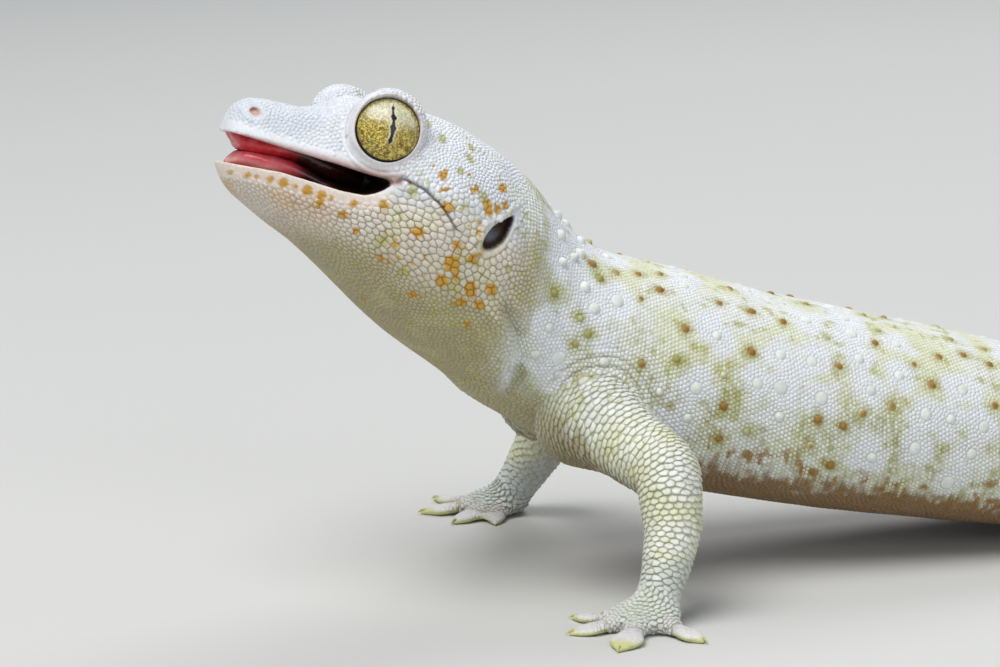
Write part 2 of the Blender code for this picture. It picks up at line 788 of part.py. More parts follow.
def limbPoint(limb, share):
    places = [Vector(row[:3]) for row in limb]
    knots = [0.0]
    for before, after in zip(places, places[1:]):
        knots.append(knots[-1] + (after - before).length)
    at = share * knots[-1]
    values = [smooth(knots, [row[i] for row in limb], at) for i in range(4)]
    return Vector(values[:3]), values[3], knots[-1]


def limbRings(limb, start, end):
    # Rings from one share of the limb's length to another, all square to its bent middle line.
    length = limbPoint(limb, 0.0)[2]
    start += HALF_GAP / length
    end -= HALF_GAP / length
    steps = max(round((end - start) * length / LIMB_STEP), 2)
    bendSide = Vector((0.0, 1.0, 0.0)) if limb in (ARM_LEFT, ARM_RIGHT) else Vector((0.0, 0.0, 1.0))
    rings = []
    for i in range(steps + 1):
        share = start + (end - start) * i / steps
        point, radius, length = limbPoint(limb, share)
        before = limbPoint(limb, share - 0.01)[0]
        after = limbPoint(limb, share + 0.01)[0]
        along = (after - before).normalized()
        side = bendSide.cross(along)
        rings.append(crossRing(point, along, side, radius, LIMB_COLUMNS, LIMB_FLATNESS))
    return rings


def makeDigit(centre, direction, length, padWidth):
    ahead = Vector((math.cos(direction), math.sin(direction), 0.0))
    aside = Vector((-ahead.y, ahead.x, 0.0))
    rings = []
    for share, width, height in DIGIT:
        middle = centre + ahead * (length * share)
        ring = []
        for j in range(DIGIT_COLUMNS):
            angle = 2 * math.pi * (j + 0.5) / DIGIT_COLUMNS
            across = squared(math.cos(angle), 2.2) * padWidth * width
            rise = height * (DIGIT_LEVEL + (1 - DIGIT_LEVEL) * squared(math.sin(angle), 2.2))
            ring.append(middle + aside * across + Vector((0.0, 0.0, max(rise, 0.0))))
        rings.append(ring)
    return makeObject("digit", loft(rings), "limb")


def makeClaw(centre, direction, length):
    ahead = Vector((math.cos(direction), math.sin(direction), 0.0))
    start = centre + ahead * (length * CLAW_START)
    path = []
    radii = []
    for i in range(CLAW_STEPS + 1):
        share = i / CLAW_STEPS
        height = CLAW_HEIGHT + 0.2 * math.sin(math.pi * share) - 0.4 * share**2
        path.append(start + ahead * (CLAW_REACH * share) + Vector((0.0, 0.0, height)))
        radii.append(CLAW_RADIUS * (1 - 0.8 * share))
    return makeObject("claw", loft(tube(path, radii, 5)), "limb")


def makePalm(centre, sizes):
    bm = bmesh.new()
    bmesh.ops.create_uvsphere(bm, u_segments=12, v_segments=8, radius=1.0)
    for vert in bm.verts:
        rise = sizes[2] * (PALM_LIFT + squared(vert.co.z, 2.6))
        place = Vector((vert.co.x * sizes[0], vert.co.y * sizes[1], max(rise, 0.0)))
        vert.co = (centre + place) * MM
    return makeObject("palm", bm, "limb")


def makeFoot(name, limb, foot):
    (x, y), sizes, digits = foot
    centre = Vector((x, y, 0.0))
    # The wrist runs down into the middle of the palm and narrows inside it.
    rings = limbRings(limb, WRIST_SHARE, 1.0)
    last = rings[-1]
    middle = sum(last, Vector()) / len(last)
    inside = Vector((x, y, WRIST_DEPTH))
    for share in (0.4, 0.8):
        shift = middle.lerp(inside, share) - middle
        rings.append([point.lerp(middle, 0.10 + 0.35 * share) + shift for point in last])
    for ring in rings:
        for point in ring:
            point.z = max(point.z, WRIST_LOWEST)
    made = makeObject(name, loft(rings), "limb")
    pieces = [makePalm(centre, sizes)]
    for i, (degrees, length, padWidth) in enumerate(digits):
        direction = math.radians(degrees)
        pieces.append(makeDigit(centre, direction, length, padWidth))
        if i > 0:
            pieces.append(makeClaw(centre, direction, length))
    combine(made, pieces, "UNION")
    return made


def makeLimb(upperName, lowerName, footName, limb, foot, bodyStart, bodyEnd):
    # The upper length starts inside the body and is cut back to just clear of its side.
    upper = makeObject(upperName, loft(limbRings(limb, ROOT_SHARE, ELBOW_SHARE)), "limb")
    stations = trunkStations(bodyStart, bodyEnd, TRUNK_STEP)
    rings = [trunkRing(station, TRUNK_COLUMNS, GAP) for station in stations]
    body = makeObject("body_space", loft(rings), "skin")
    combine(upper, [body], "DIFFERENCE")
    lower = makeObject(lowerName, loft(limbRings(limb, ELBOW_SHARE, WRIST_SHARE)), "limb")
    return [upper, lower, makeFoot(footName, limb, foot)]


# Whole animal

def centreOnFloor(parts):
    # The origin comes under the middle of the whole animal, on the floor.
    points = np.array([vert.co for part in parts for vert in part.data.vertices])
    middle = (points.min(axis=0) + points.max(axis=0)) / 2
    shift = Vector((-middle[0], -middle[1], -points[:, 2].min()))
    for part in parts:
        for vert in part.data.vertices:
            vert.co += shift
    print("shift in mm", [round(value / MM, 3) for value in shift])


def main():
    for old in list(bpy.data.objects):
        bpy.data.objects.remove(old)
    draw = random.Random(7)
    head = makeHead()
    eyes = makeEyes()
    tongue = makeTongue()
    for part in head + eyes + [tongue]:
        rollMesh(part)
    parts = head + eyes + [tongue]
    parts.append(makeTrunkPart("neck", NECK_STATION, CHEST_STATION, draw, 3))
    parts.append(makeTrunkPart("chest", CHEST_STATION, TORSO_STATION, draw, 2))
    parts.append(makeTrunkPart("torso", TORSO_STATION, BELLY_STATION, draw, 1))
    parts.append(makeTrunkPart("belly", BELLY_STATION, PELVIS_STATION, draw, 1))
    parts.append(makeTrunkPart("pelvis", PELVIS_STATION, VENT_STATION, draw, 3))
    parts += makeTail(draw)
    frontSpan = (NECK_STATION - 1.0, TORSO_STATION + 2.0)
    hindSpan = (BELLY_STATION - 1.0, VENT_STATION)
    parts += makeLimb("arm_left_upper", "arm_left_lower", "hand_left", ARM_LEFT, HAND_LEFT, *frontSpan)
    parts += makeLimb("arm_right_upper", "arm_right_lower", "hand_right", ARM_RIGHT, HAND_RIGHT, *frontSpan)
    parts += makeLimb("leg_left_upper", "leg_left_lower", "foot_left", LEG_LEFT, FOOT_LEFT, *hindSpan)
    parts += makeLimb("leg_right_upper", "leg_right_lower", "foot_right", LEG_RIGHT, FOOT_RIGHT, *hindSpan)
    centreOnFloor(parts)


main()
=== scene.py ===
import itertools
import math

import bpy
import numpy as np
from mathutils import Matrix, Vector
from mathutils.bvhtree import BVHTree
from mathutils.kdtree import KDTree


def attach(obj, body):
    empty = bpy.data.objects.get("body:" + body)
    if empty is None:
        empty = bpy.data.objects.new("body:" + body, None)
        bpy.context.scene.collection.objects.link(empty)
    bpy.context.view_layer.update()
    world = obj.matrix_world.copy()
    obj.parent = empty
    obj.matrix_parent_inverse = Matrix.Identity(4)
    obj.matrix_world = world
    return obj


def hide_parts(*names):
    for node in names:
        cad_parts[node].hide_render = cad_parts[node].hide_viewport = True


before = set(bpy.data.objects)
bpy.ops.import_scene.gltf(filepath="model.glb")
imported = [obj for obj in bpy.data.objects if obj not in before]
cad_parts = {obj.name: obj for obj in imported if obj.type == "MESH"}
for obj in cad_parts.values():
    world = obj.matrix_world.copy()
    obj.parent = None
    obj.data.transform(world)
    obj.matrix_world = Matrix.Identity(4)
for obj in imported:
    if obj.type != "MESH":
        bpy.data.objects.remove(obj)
bpy.ops.object.select_all(action="DESELECT")
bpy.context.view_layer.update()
print("frame loaded")

# Everything below is drawn in millimetres with the floor at zero, then moved by this much.
mm = 0.001
drawingShift = np.array([0.5, -101.903, 0.0])
draw = np.random.default_rng(11)


# Small helpers.

def curve(knots, values, at):
    # A smooth line through the values that never overshoots them.
    knots = np.asarray(knots, float)
    values = np.asarray(values, float)
    step = np.diff(knots)
    rise = np.diff(values) / step
    slope = np.zeros(len(values))
    slope[0] = rise[0]
    slope[-1] = rise[-1]
    before = 2 * step[1:] + step[:-1]
    after = step[1:] + 2 * step[:-1]
    turning = rise[:-1] * rise[1:] <= 0
    safe = np.where(turning, 1.0, rise[:-1]), np.where(turning, 1.0, rise[1:])
    slope[1:-1] = np.where(turning, 0.0, (before + after) / (before / safe[0] + after / safe[1]))
    at = np.asarray(at, float)
    i = np.clip(np.searchsorted(knots, at) - 1, 0, len(knots) - 2)
    width = knots[i + 1] - knots[i]
    t = (at - knots[i]) / width
    return ((2 * t**3 - 3 * t**2 + 1) * values[i] + (t**3 - 2 * t**2 + t) * width * slope[i]
            + (-2 * t**3 + 3 * t**2) * values[i + 1] + (t**3 - t**2) * width * slope[i + 1])


def ease(start, end, at):
    t = np.clip((at - start) / (end - start), 0.0, 1.0)
    return t * t * (3 - 2 * t)


def bump(distance, width):
    return np.exp(-((distance / width) ** 2))


def squared(value, power):
    return np.sign(value) * np.abs(value) ** (2 / power)


def unit(vectors):
    return vectors / np.maximum(np.linalg.norm(vectors, axis=-1, keepdims=True), 1e-9)


def dots(a, b):
    return (a * b).sum(axis=-1)


def cloud(points, size, seed):
    # Soft random values between 0 and 1 that change over this many millimetres.
    at = np.asarray(points, float) / size + 57.3 * seed
    cell = np.floor(at).astype(np.int64)
    t = at - cell
    t = t * t * (3 - 2 * t)
    total = 0.0
    for corner in range(8):
        step = np.array([corner & 1, corner >> 1 & 1, corner >> 2 & 1])
        key = cell + step
        stirred = key[..., 0] * 73856093 ^ key[..., 1] * 19349663 ^ key[..., 2] * 83492791
        stirred = (stirred ^ (stirred >> 13)) * 1274126177 & 0x7FFFFFFF
        value = (stirred % 65536) / 65536.0
        share = np.where(step == 1, t, 1 - t)
        total = total + value * share[..., 0] * share[..., 1] * share[..., 2]
    return total


def turns(count, shift=0.5):
    return 2 * math.pi * (np.arange(count) + shift) / count


def headingOf(degrees):
    # ahead and aside on the floor
    cosine, sine = math.cos(math.radians(degrees)), math.sin(math.radians(degrees))
    return np.array([cosine, sine, 0.0]), np.array([-sine, cosine, 0.0])


def wayAlong(points):
    return np.concatenate([[0], np.cumsum(np.linalg.norm(np.diff(points, axis=0), axis=1))])


def fetched(items, name, width=1, kind=np.float32):
    flat = np.empty(len(items) * width, kind)
    items.foreach_get(name, flat)
    return flat.reshape(-1, width) if width > 1 else flat


def stored(points):
    return ((points + drawingShift) * mm).astype(np.float32).ravel()


def newMesh(name, points, faces):
    # points in drawing millimetres; faces as arrays that each hold faces of one size
    mesh = bpy.data.meshes.new(name)
    mesh.vertices.add(len(points))
    mesh.vertices.foreach_set("co", stored(points))
    faces = [np.asarray(group) for group in faces if len(group)]
    loops = np.concatenate([group.ravel() for group in faces])
    sizes = np.concatenate([np.full(len(group), group.shape[1]) for group in faces])
    mesh.loops.add(len(loops))
    mesh.loops.foreach_set("vertex_index", loops.astype(np.int32))
    mesh.polygons.add(len(sizes))
    starts = np.concatenate([[0], np.cumsum(sizes)[:-1]])
    mesh.polygons.foreach_set("loop_start", starts.astype(np.int32))
    mesh.update(calc_edges=True)
    mesh.shade_smooth()
    made = bpy.data.objects.new(name, mesh)
    bpy.context.scene.collection.objects.link(made)
    return made


def pick(made, others=()):
    bpy.ops.object.select_all(action="DESELECT")
    for each in [made, *others]:
        each.select_set(True)
    bpy.context.view_layer.objects.active = made


def joined(made, others):
    pick(made, others)
    bpy.ops.object.join()
    return made


def shell(name, rings, tips=None):
    # a closed form through rings of points, with a fan on each end
    rings = np.asarray(rings, float)
    rows, columns = rings.shape[:2]
    tips = rings[[0, -1]].mean(axis=1) if tips is None else tips
    points = np.concatenate([rings.reshape(-1, 3), tips])
    i, j = np.meshgrid(np.arange(rows - 1) * columns, np.arange(columns), indexing="ij")
    k = (j + 1) % columns
    quads = np.stack([i + j, i + k, i + columns + k, i + columns + j], -1)
    j, k, last, tip = j[0], k[0], (rows - 1) * columns, np.full(columns, rows * columns)
    fans = [np.stack([k, j, tip], -1), np.stack([last + j, last + k, tip + 1], -1)]
    made = newMesh(name, points, [quads.reshape(-1, 4)] + fans)
    outwards(made)
    return made


def outwards(made):
    pick(made)
    bpy.ops.object.mode_set(mode="EDIT")
    bpy.ops.mesh.select_all(action="SELECT")
    bpy.ops.mesh.normals_make_consistent(inside=False)
    bpy.ops.object.mode_set(mode="OBJECT")


def pointsOf(made):
    return fetched(made.data.vertices, "co", 3).astype(float) / mm - drawingShift


def setPoints(made, points):
    made.data.vertices.foreach_set("co", stored(points))
    made.data.update()


def normalsOf(made):
    return fetched(made.data.vertex_normals, "vector", 3).astype(float)


# The form of the head, body and tail.

bodyForm = {
    # back (y, z), belly (y, z), half width, level of the widest place, squareness above, below
    "rows": [
        (-37.9, 61.9, -39.3, 59.8, 1.2, 0.50, 2.0, 2.0),
        (-37.5, 63.5, -39.0, 57.6, 2.7, 0.50, 2.0, 2.0),
        (-36.8, 64.9, -38.4, 55.8, 4.0, 0.52, 2.1, 2.0),
        (-35.6, 65.9, -37.3, 54.0, 5.2, 0.53, 2.2, 2.0),
        (-33.5, 66.3, -35.4, 52.2, 6.6, 0.53, 2.4, 2.0),
        (-30.8, 66.0, -32.4, 49.6, 8.0, 0.52, 2.6, 2.0),
        (-27.2, 65.3, -28.9, 46.9, 9.5, 0.52, 2.7, 2.0),
        (-23.3, 65.0, -25.6, 43.6, 11.1, 0.52, 2.8, 2.0),
        (-19.0, 65.2, -22.2, 40.1, 12.7, 0.52, 2.9, 2.0),
        (-14.6, 64.7, -19.0, 36.9, 14.2, 0.50, 2.8, 2.1),
        (-10.3, 63.4, -16.2, 34.3, 15.4, 0.49, 2.7, 2.1),
        (-6.0, 61.4, -13.2, 32.0, 15.9, 0.48, 2.5, 2.1),
        (-2.0, 59.0, -10.3, 29.8, 15.9, 0.48, 2.3, 2.1),
        (1.2, 56.6, -7.6, 27.6, 15.4, 0.48, 2.1, 2.1),
        (4.2, 53.8, -5.2, 25.2, 14.8, 0.48, 2.1, 2.1),
        (7.2, 50.0, -2.6, 23.3, 14.2, 0.48, 2.0, 2.0),
        (10.2, 46.8, 0.8, 21.2, 14.0, 0.48, 2.0, 2.0),
        (14.2, 44.1, 5.6, 18.0, 14.6, 0.48, 2.1, 2.0),
        (19.0, 42.6, 12.0, 14.3, 15.6, 0.47, 2.1, 2.1),
        (25.0, 41.0, 20.0, 11.4, 16.4, 0.46, 2.1, 2.2),
        (32.0, 38.8, 29.3, 9.4, 16.9, 0.46, 2.1, 2.3),
        (41.0, 36.2, 39.5, 7.3, 17.4, 0.46, 2.1, 2.4),
        (52.5, 33.3, 51.8, 5.3, 17.7, 0.46, 2.1, 2.5),
        (64.0, 30.5, 63.8, 3.3, 17.6, 0.46, 2.1, 2.5),
        (76.0, 27.3, 76.0, 1.6, 17.0, 0.46, 2.1, 2.5),
        (86.0, 25.0, 86.0, 0.3, 16.0, 0.46, 2.1, 2.5),
        (94.0, 23.2, 94.0, -0.3, 14.6, 0.46, 2.1, 2.5),
        (101.0, 21.6, 101.0, -0.4, 13.2, 0.46, 2.1, 2.5),
        (107.0, 20.0, 107.0, -0.4, 12.0, 0.46, 2.1, 2.4),
        (112.0, 18.2, 112.0, -0.4, 10.8, 0.46, 2.1, 2.3),
    ],
    "ventStation": 29.0,
    "headStation": 15,  # the head is sculpted up to here
    "columns": 150,
    "skinDepth": 0.24,  # how far the skin lies inside the solids, under its scales
}

headForm = {
    "snoutTip": np.array([0.0, -39.0, 61.0]),
    "pitch": math.radians(18.0),
    "roll": math.radians(5.5),
    "rollHeight": 4.0,
    "rollFrom": 26.0,
    "rollTo": 42.0,
}
headBack = np.array([0.0, math.cos(headForm["pitch"]), -math.sin(headForm["pitch"])])
headUp = np.array([0.0, math.sin(headForm["pitch"]), math.cos(headForm["pitch"])])

tailForm = {
    "length": 142.0,
    "swing": math.radians(32.0),
    # share of the length, half width, height
    "rows": [
        (0.00, 10.5, 18.2),
        (0.04, 8.6, 15.6),
        (0.10, 7.5, 13.2),
        (0.22, 6.9, 11.8),
        (0.40, 5.6, 9.6),
        (0.60, 4.1, 7.2),
        (0.80, 2.6, 4.6),
        (0.94, 1.4, 2.6),
        (1.00, 0.6, 1.2),
    ],
    "square": (2.1, 2.5),  # squareness above and below
    "level": 0.46,  # share of the height where it is widest
    "rings": 320,
    "columns": 72,
    "overlap": 1.2,  # how far it begins inside the trunk
    "sunk": 0.05,  # how far its underside runs below the floor before it is made flat
}


def bodyPoints(stations, angles, grow=0.0):
    stations = np.asarray(stations, float)[:, None]
    angles = np.asarray(angles, float)[None, :]
    knots = range(len(bodyForm["rows"]))
    columns = [curve(knots, [row[i] for row in bodyForm["rows"]], stations) for i in range(8)]
    backY, backZ, bellyY, bellyZ, width, level, squareTop, squareLow = columns
    middleY = bellyY + (backY - bellyY) * level
    middleZ = bellyZ + (backZ - bellyZ) * level
    high = np.sin(angles) > 0
    power = np.where(high, squareTop, squareLow)
    side = squared(np.cos(angles), power)
    rise = np.abs(squared(np.sin(angles), power))
    reachY = np.where(high, backY - middleY, bellyY - middleY)
    reachZ = np.where(high, backZ - middleZ, bellyZ - middleZ)
    rise = rise * (1 + grow / np.maximum(np.hypot(reachY, reachZ), 0.5))
    points = np.empty(rise.shape + (3,))
    points[..., 0] = side * (width + grow)
    points[..., 1] = middleY + reachY * rise
    points[..., 2] = np.maximum(middleZ + reachZ * rise, 0.0)
    return points


def toHead(points):
    offset = points - headForm["snoutTip"]
    return offset @ headBack, offset @ headUp, points[..., 0]


def fromHead(behind, above, side):
    places = np.broadcast_arrays(*(np.asarray(v, float)[..., None] for v in (behind, above, side)))
    points = headForm["snoutTip"] + places[0] * headBack + places[1] * headUp
    points[..., 0] = places[2][..., 0]
    return points


def turnedHead(points, way):
    # the head is tipped a little to its right, and the neck takes up the turn
    behind, above, side = toHead(points)
    angle = way * headForm["roll"] * (1 - ease(headForm["rollFrom"], headForm["rollTo"], behind))
    height = above - headForm["rollHeight"]
    level = side * np.sin(angle) + height * np.cos(angle)
    return behind, level + headForm["rollHeight"], side * np.cos(angle) - height * np.sin(angle)


def rolled(points):
    return fromHead(*turnedHead(points, 1))


def unrolled(points):
    # a point's place on the head as if it were held level
    return turnedHead(points, -1)


def sculptHead(points):
    # brows, the hollow between them, the cheeks before the eyes and the muscles of the jaw
    behind, above, side = toHead(points)
    outward = np.abs(side)
    top = ease(3.6, 6.2, above)
    length = np.where(behind < 17.6, 8.0, 5.2)
    brow = 2.4 * bump(behind - 17.6, length) * bump(outward - 9.4, 3.6)
    canthus = 0.6 * bump(behind - 9.0, 5.0) * bump(outward - 5.0 - 0.33 * behind, 1.8)
    hollow = 0.8 * bump(behind - 15.0, 8.0) * bump(outward, 3.6)
    snout = 0.4 * bump(behind - 3.0, 3.0) * bump(outward - 2.6, 2.2)
    lifted = above + top * (brow - hollow + snout + canthus)
    cheek = -1.0 * bump(behind - 10.0, 5.0) * bump(above - 5.2, 2.4)
    muscle = 0.9 * bump(behind - 28.5, 6.0) * bump(above, 6.0)
    temple = -0.5 * bump(behind - 27.0, 4.0) * bump(above - 8.5, 2.5)
    wider = side + np.sign(side) * ease(1.5, 4.5, outward) * (cheek + muscle + temple)
    return fromHead(behind, lifted, wider)


def tailHeading(distance):
    return tailForm["swing"] * np.sin(1.5 * math.pi * distance / tailForm["length"])


def tailPoints(distances, angles, grow=0.0):
    # the tail swings to one side and back as it runs along the floor
    fine = np.linspace(0, tailForm["length"], 600)
    step = fine[1] - fine[0]
    heading = tailHeading(fine)
    heading = heading[:-1] + np.diff(heading) / 2
    lineX, lineY = [np.concatenate([[0], np.cumsum(way(heading) * step)]) for way in (np.sin, np.cos)]
    distances = np.asarray(distances, float)[:, None]
    angles = np.asarray(angles, float)[None, :]
    share, width, height = np.array(tailForm["rows"]).T
    width, height = [curve(share, row, distances / tailForm["length"]) + grow for row in (width, height)]
    high = np.sin(angles) > 0
    power = np.where(high, *tailForm["square"])
    side = width * squared(np.cos(angles), power)
    middle = tailForm["level"] * height
    up = np.where(high, height - middle, middle + tailForm["sunk"] * height)
    turn = tailHeading(distances)
    points = np.empty(side.shape + (3,))
    points[..., 0] = np.interp(distances, fine, lineX) + side * np.cos(turn)
    points[..., 1] = np.interp(distances, fine, lineY + bodyForm["rows"][-1][0]) - side * np.sin(turn)
    points[..., 2] = np.maximum(middle + up * squared(np.sin(angles), power), 0.0)
    return points


# The form of the limbs.

limbForm = {
    "flat": 0.94,
    "rings": 90,
    "columns": 48,
    # points from inside the body to the wrist or ankle (x, y, z) and the radius there
    "armLeft": [(6.0, 9.0, 24.0, 8.6), (13.0, 9.8, 23.0, 7.0), (20.0, 12.2, 20.9, 5.2),
                (25.8, 15.0, 17.6, 4.7), (28.0, 14.9, 12.8, 4.2), (29.8, 13.6, 8.2, 3.6),
                (31.2, 12.2, 4.6, 3.3)],
    "armRight": [(-6.0, 9.0, 24.0, 8.6), (-13.0, 10.2, 22.6, 7.0), (-20.0, 13.2, 19.9, 5.2),
                 (-25.2, 16.0, 16.0, 4.7), (-27.4, 15.0, 11.6, 4.2), (-29.0, 13.4, 7.8, 3.6),
                 (-30.4, 12.0, 4.6, 3.3)],
    "legLeft": [(5.0, 102.0, 11.5, 8.6), (14.0, 98.4, 12.3, 7.8), (23.5, 93.8, 13.2, 6.2),
                (31.5, 91.0, 12.9, 4.9), (36.0, 95.5, 10.6, 4.6), (39.0, 102.5, 7.4, 3.9),
                (41.0, 108.0, 4.8, 3.4)],
    "legRight": [(-5.0, 102.0, 11.5, 8.6), (-14.0, 97.6, 12.3, 7.8), (-24.0, 91.0, 13.0, 6.2),
                 (-31.0, 85.5, 12.6, 4.9), (-36.0, 89.0, 10.6, 4.6), (-39.5, 95.5, 7.4, 3.9),
                 (-42.0, 100.5, 4.8, 3.4)],
}
handForm = {
    # palm centre, palm half sizes, then each digit's direction, length and pad half width
    "armLeft": ((33.0, 9.6), (4.9, 4.9, 2.3),
                [(-160, 9.4, 1.8), (-128, 10.6, 2.1), (-86, 11.2, 2.2), (-36, 12.8, 2.4), (26, 11.0, 2.0)]),
    "armRight": ((-32.2, 9.6), (4.9, 4.9, 2.3),
                 [(-20, 9.4, 1.8), (-56, 10.8, 2.1), (-98, 12.0, 2.2), (-142, 12.2, 2.3), (160, 11.0, 2.0)]),
    "legLeft": ((43.0, 110.0), (5.3, 5.5, 2.4),
                [(-112, 10.5, 1.8), (-76, 12.0, 2.1), (-38, 13.8, 2.3), (2, 14.4, 2.4), (58, 12.4, 2.1)]),
    "legRight": ((-44.0, 102.6), (5.3, 5.5, 2.4),
                 [(-66, 10.5, 1.8), (-103, 12.0, 2.1), (-142, 13.8, 2.3), (178, 14.4, 2.4),
                  (122, 12.4, 2.1)]),
    # share of a digit's length, share of the pad's half width, height of its back
    "digit": [(0.10, 0.90, 2.9), (0.30, 0.82, 2.6), (0.42, 0.74, 2.3), (0.54, 0.92, 2.0), (0.66, 1.06, 1.7),
              (0.77, 0.94, 1.45), (0.86, 0.62, 1.2), (0.92, 0.38, 1.0), (0.97, 0.18, 0.7)],
    "digitRows": 30,
    "digitColumns": 28,
    "digitSquare": 2.2,
    "trough": 0.20,
    "clawStart": 0.90,
    "clawReach": 1.15,
    "clawRadius": 0.24,
    "palmRows": 15,
    "palmColumns": 32,
    "palmTip": 0.12,
    "palmLevel": 0.72,  # height of its middle, as a share of its half height
    "palmSquare": 2.5,
}
limbNames = ["armLeft", "armRight", "legLeft", "legRight"]


def limbRings(name, shares, columns, grow=0.0):
    rows = np.array(limbForm[name])
    knots = wayAlong(rows[:, :3])

    def centre(share):
        return np.stack([curve(knots, rows[:, i], share * knots[-1]) for i in range(3)], -1)

    shares = np.asarray(shares, float)
    middle = centre(shares)
    along = unit(centre(np.minimum(shares + 0.01, 1)) - centre(np.maximum(shares - 0.01, 0)))
    radius = curve(knots, rows[:, 3], shares * knots[-1]) + grow
    side = unit(np.cross([0.0, 1.0, 0.0] if name.startswith("arm") else [0.0, 0.0, 1.0], along))
    side = unit(side - along * dots(side, along)[:, None])
    over = np.cross(side, along)
    angle = turns(columns)
    offset = side[:, None] * np.cos(angle)[None, :, None]
    offset = offset + over[:, None] * (np.sin(angle) * limbForm["flat"])[None, :, None]
    return middle[:, None] + offset * radius[:, None, None], along, knots[-1]


def digitRings(centre, degrees, length, padWidth, grow=0.0):
    ahead, aside = headingOf(degrees)
    knots, widths, heights = np.array(handForm["digit"]).T
    shares = np.linspace(knots[0], knots[-1], handForm["digitRows"])
    width = np.maximum(curve(knots, widths, shares) * padWidth + grow, 0.1)[:, None]
    height = (curve(knots, heights, shares) + grow)[:, None]
    angle = turns(handForm["digitColumns"])[None]
    square = handForm["digitSquare"]
    across = squared(np.cos(angle), square) * width
    rise = height * (0.45 + 0.55 * squared(np.sin(angle), square))
    # the end of the digit is a broad pad with a shallow trough along its back
    trough = handForm["trough"] * bump(across / width, 0.30) * ease(0.50, 0.66, shares)[:, None]
    rise = np.where(np.sin(angle) > 0, rise * (1 - trough), rise)
    middle = np.array([*centre, 0.0]) + ahead * (length * shares)[:, None]
    rings = middle[:, None] + aside * across[..., None]
    rings[..., 2] += np.maximum(rise, 0.0)
    return rings


def palmRings(centre, sizes, grow=0.0):
    rows, columns = handForm["palmRows"], handForm["palmColumns"]
    highest = math.pi / 2 - handForm["palmTip"]
    tilt = np.linspace(-highest, highest, rows)[:, None]
    angle = turns(columns)[None]
    rings = np.empty((rows, columns, 3))
    for i, way in enumerate((np.cos, np.sin)):
        rings[..., i] = centre[i] + np.cos(tilt) * way(angle) * (sizes[i] + grow)
    rise = squared(np.sin(tilt), handForm["palmSquare"]) * (sizes[2] + grow)
    rings[..., 2] = np.maximum(sizes[2] * handForm["palmLevel"] + rise, 0.0)
    return rings


# The skin: one closed mesh over the whole animal.

eyeForm = {
    "place": (19.15, 6.8, 10.5),
    "radius": 4.6,
    "bulge": 3.5,
    "forward": math.radians(16.0),
    "up": math.radians(5.0),
    "window": 4.08,
    "orbit": 5.3,
}
mouthForm = {
    # lines of the two lips in the head's own frame, from the front to the corner (behind, above)
    "upper": [(-4.0, 2.0), (0.2, 1.5), (7.0, 1.2), (14.0, 1.0), (19.0, 0.8), (21.4, 0.9), (22.4, 1.3)],
    "lower": [(-4.0, -3.6), (0.7, -2.6), (7.9, -1.9), (15.4, -2.2), (18.4, -1.9), (20.0, -1.0),
              (21.4, 0.5), (22.4, 1.1)],
    "inside": ((11.4, -0.3), (10.2, 3.4, 7.7)),
}
noseForm = {"place": (3.2, 4.8, 5.0), "radius": 0.72}
earForm = {
    "place": (36.3, -0.9, 16.0),
    "halfLength": 3.5,
    "halfWidth": 1.35,
    "slant": math.radians(56.0),
    "depth": 2.4,
}


def eyeAxes(sign):
    outward = np.array([sign, 0.0, 0.0])
    look = outward * math.cos(eyeForm["forward"]) - headBack * math.sin(eyeForm["forward"])
    look = unit(look * math.cos(eyeForm["up"]) + headUp * math.sin(eyeForm["up"]))
    across = unit(np.cross(look, headUp))
    return across, unit(np.cross(across, look)), look


def ballRings(centre, radii, axes, rows=18, columns=36):
    tilt = np.linspace(0.06, math.pi - 0.06, rows)[:, None, None]
    angle = turns(columns)[None, :, None]
    ways = (np.sin(tilt) * np.cos(angle), np.sin(tilt) * np.sin(angle), np.cos(tilt) * np.ones((columns, 1)))
    ring = [axis * radius * way for axis, radius, way in zip(axes, radii, ways)]
    return centre + (ring[0] + ring[1]) + ring[2]


def slab(name, outline, reach=30.0):
    # a slab right across the head whose side view is the outline
    behind, above = np.array(outline).T
    count = len(behind)
    j = np.arange(count)
    k = (j + 1) % count
    quads = np.stack([j, k, count + k, count + j], -1)
    rings = [fromHead(behind, above, side) for side in (-reach, reach)]
    made = newMesh(name, np.concatenate(rings), [quads, [j[::-1]], [count + j]])
    outwards(made)
    return made


def cut(made, others):
    for other in others:
        pick(made)
        boolean = made.modifiers.new("cut", "BOOLEAN")
        boolean.operation = "DIFFERENCE"
        boolean.solver = "MANIFOLD"
        boolean.object = other
        bpy.ops.object.modifier_apply(modifier=boolean.name)
        bpy.data.objects.remove(other)


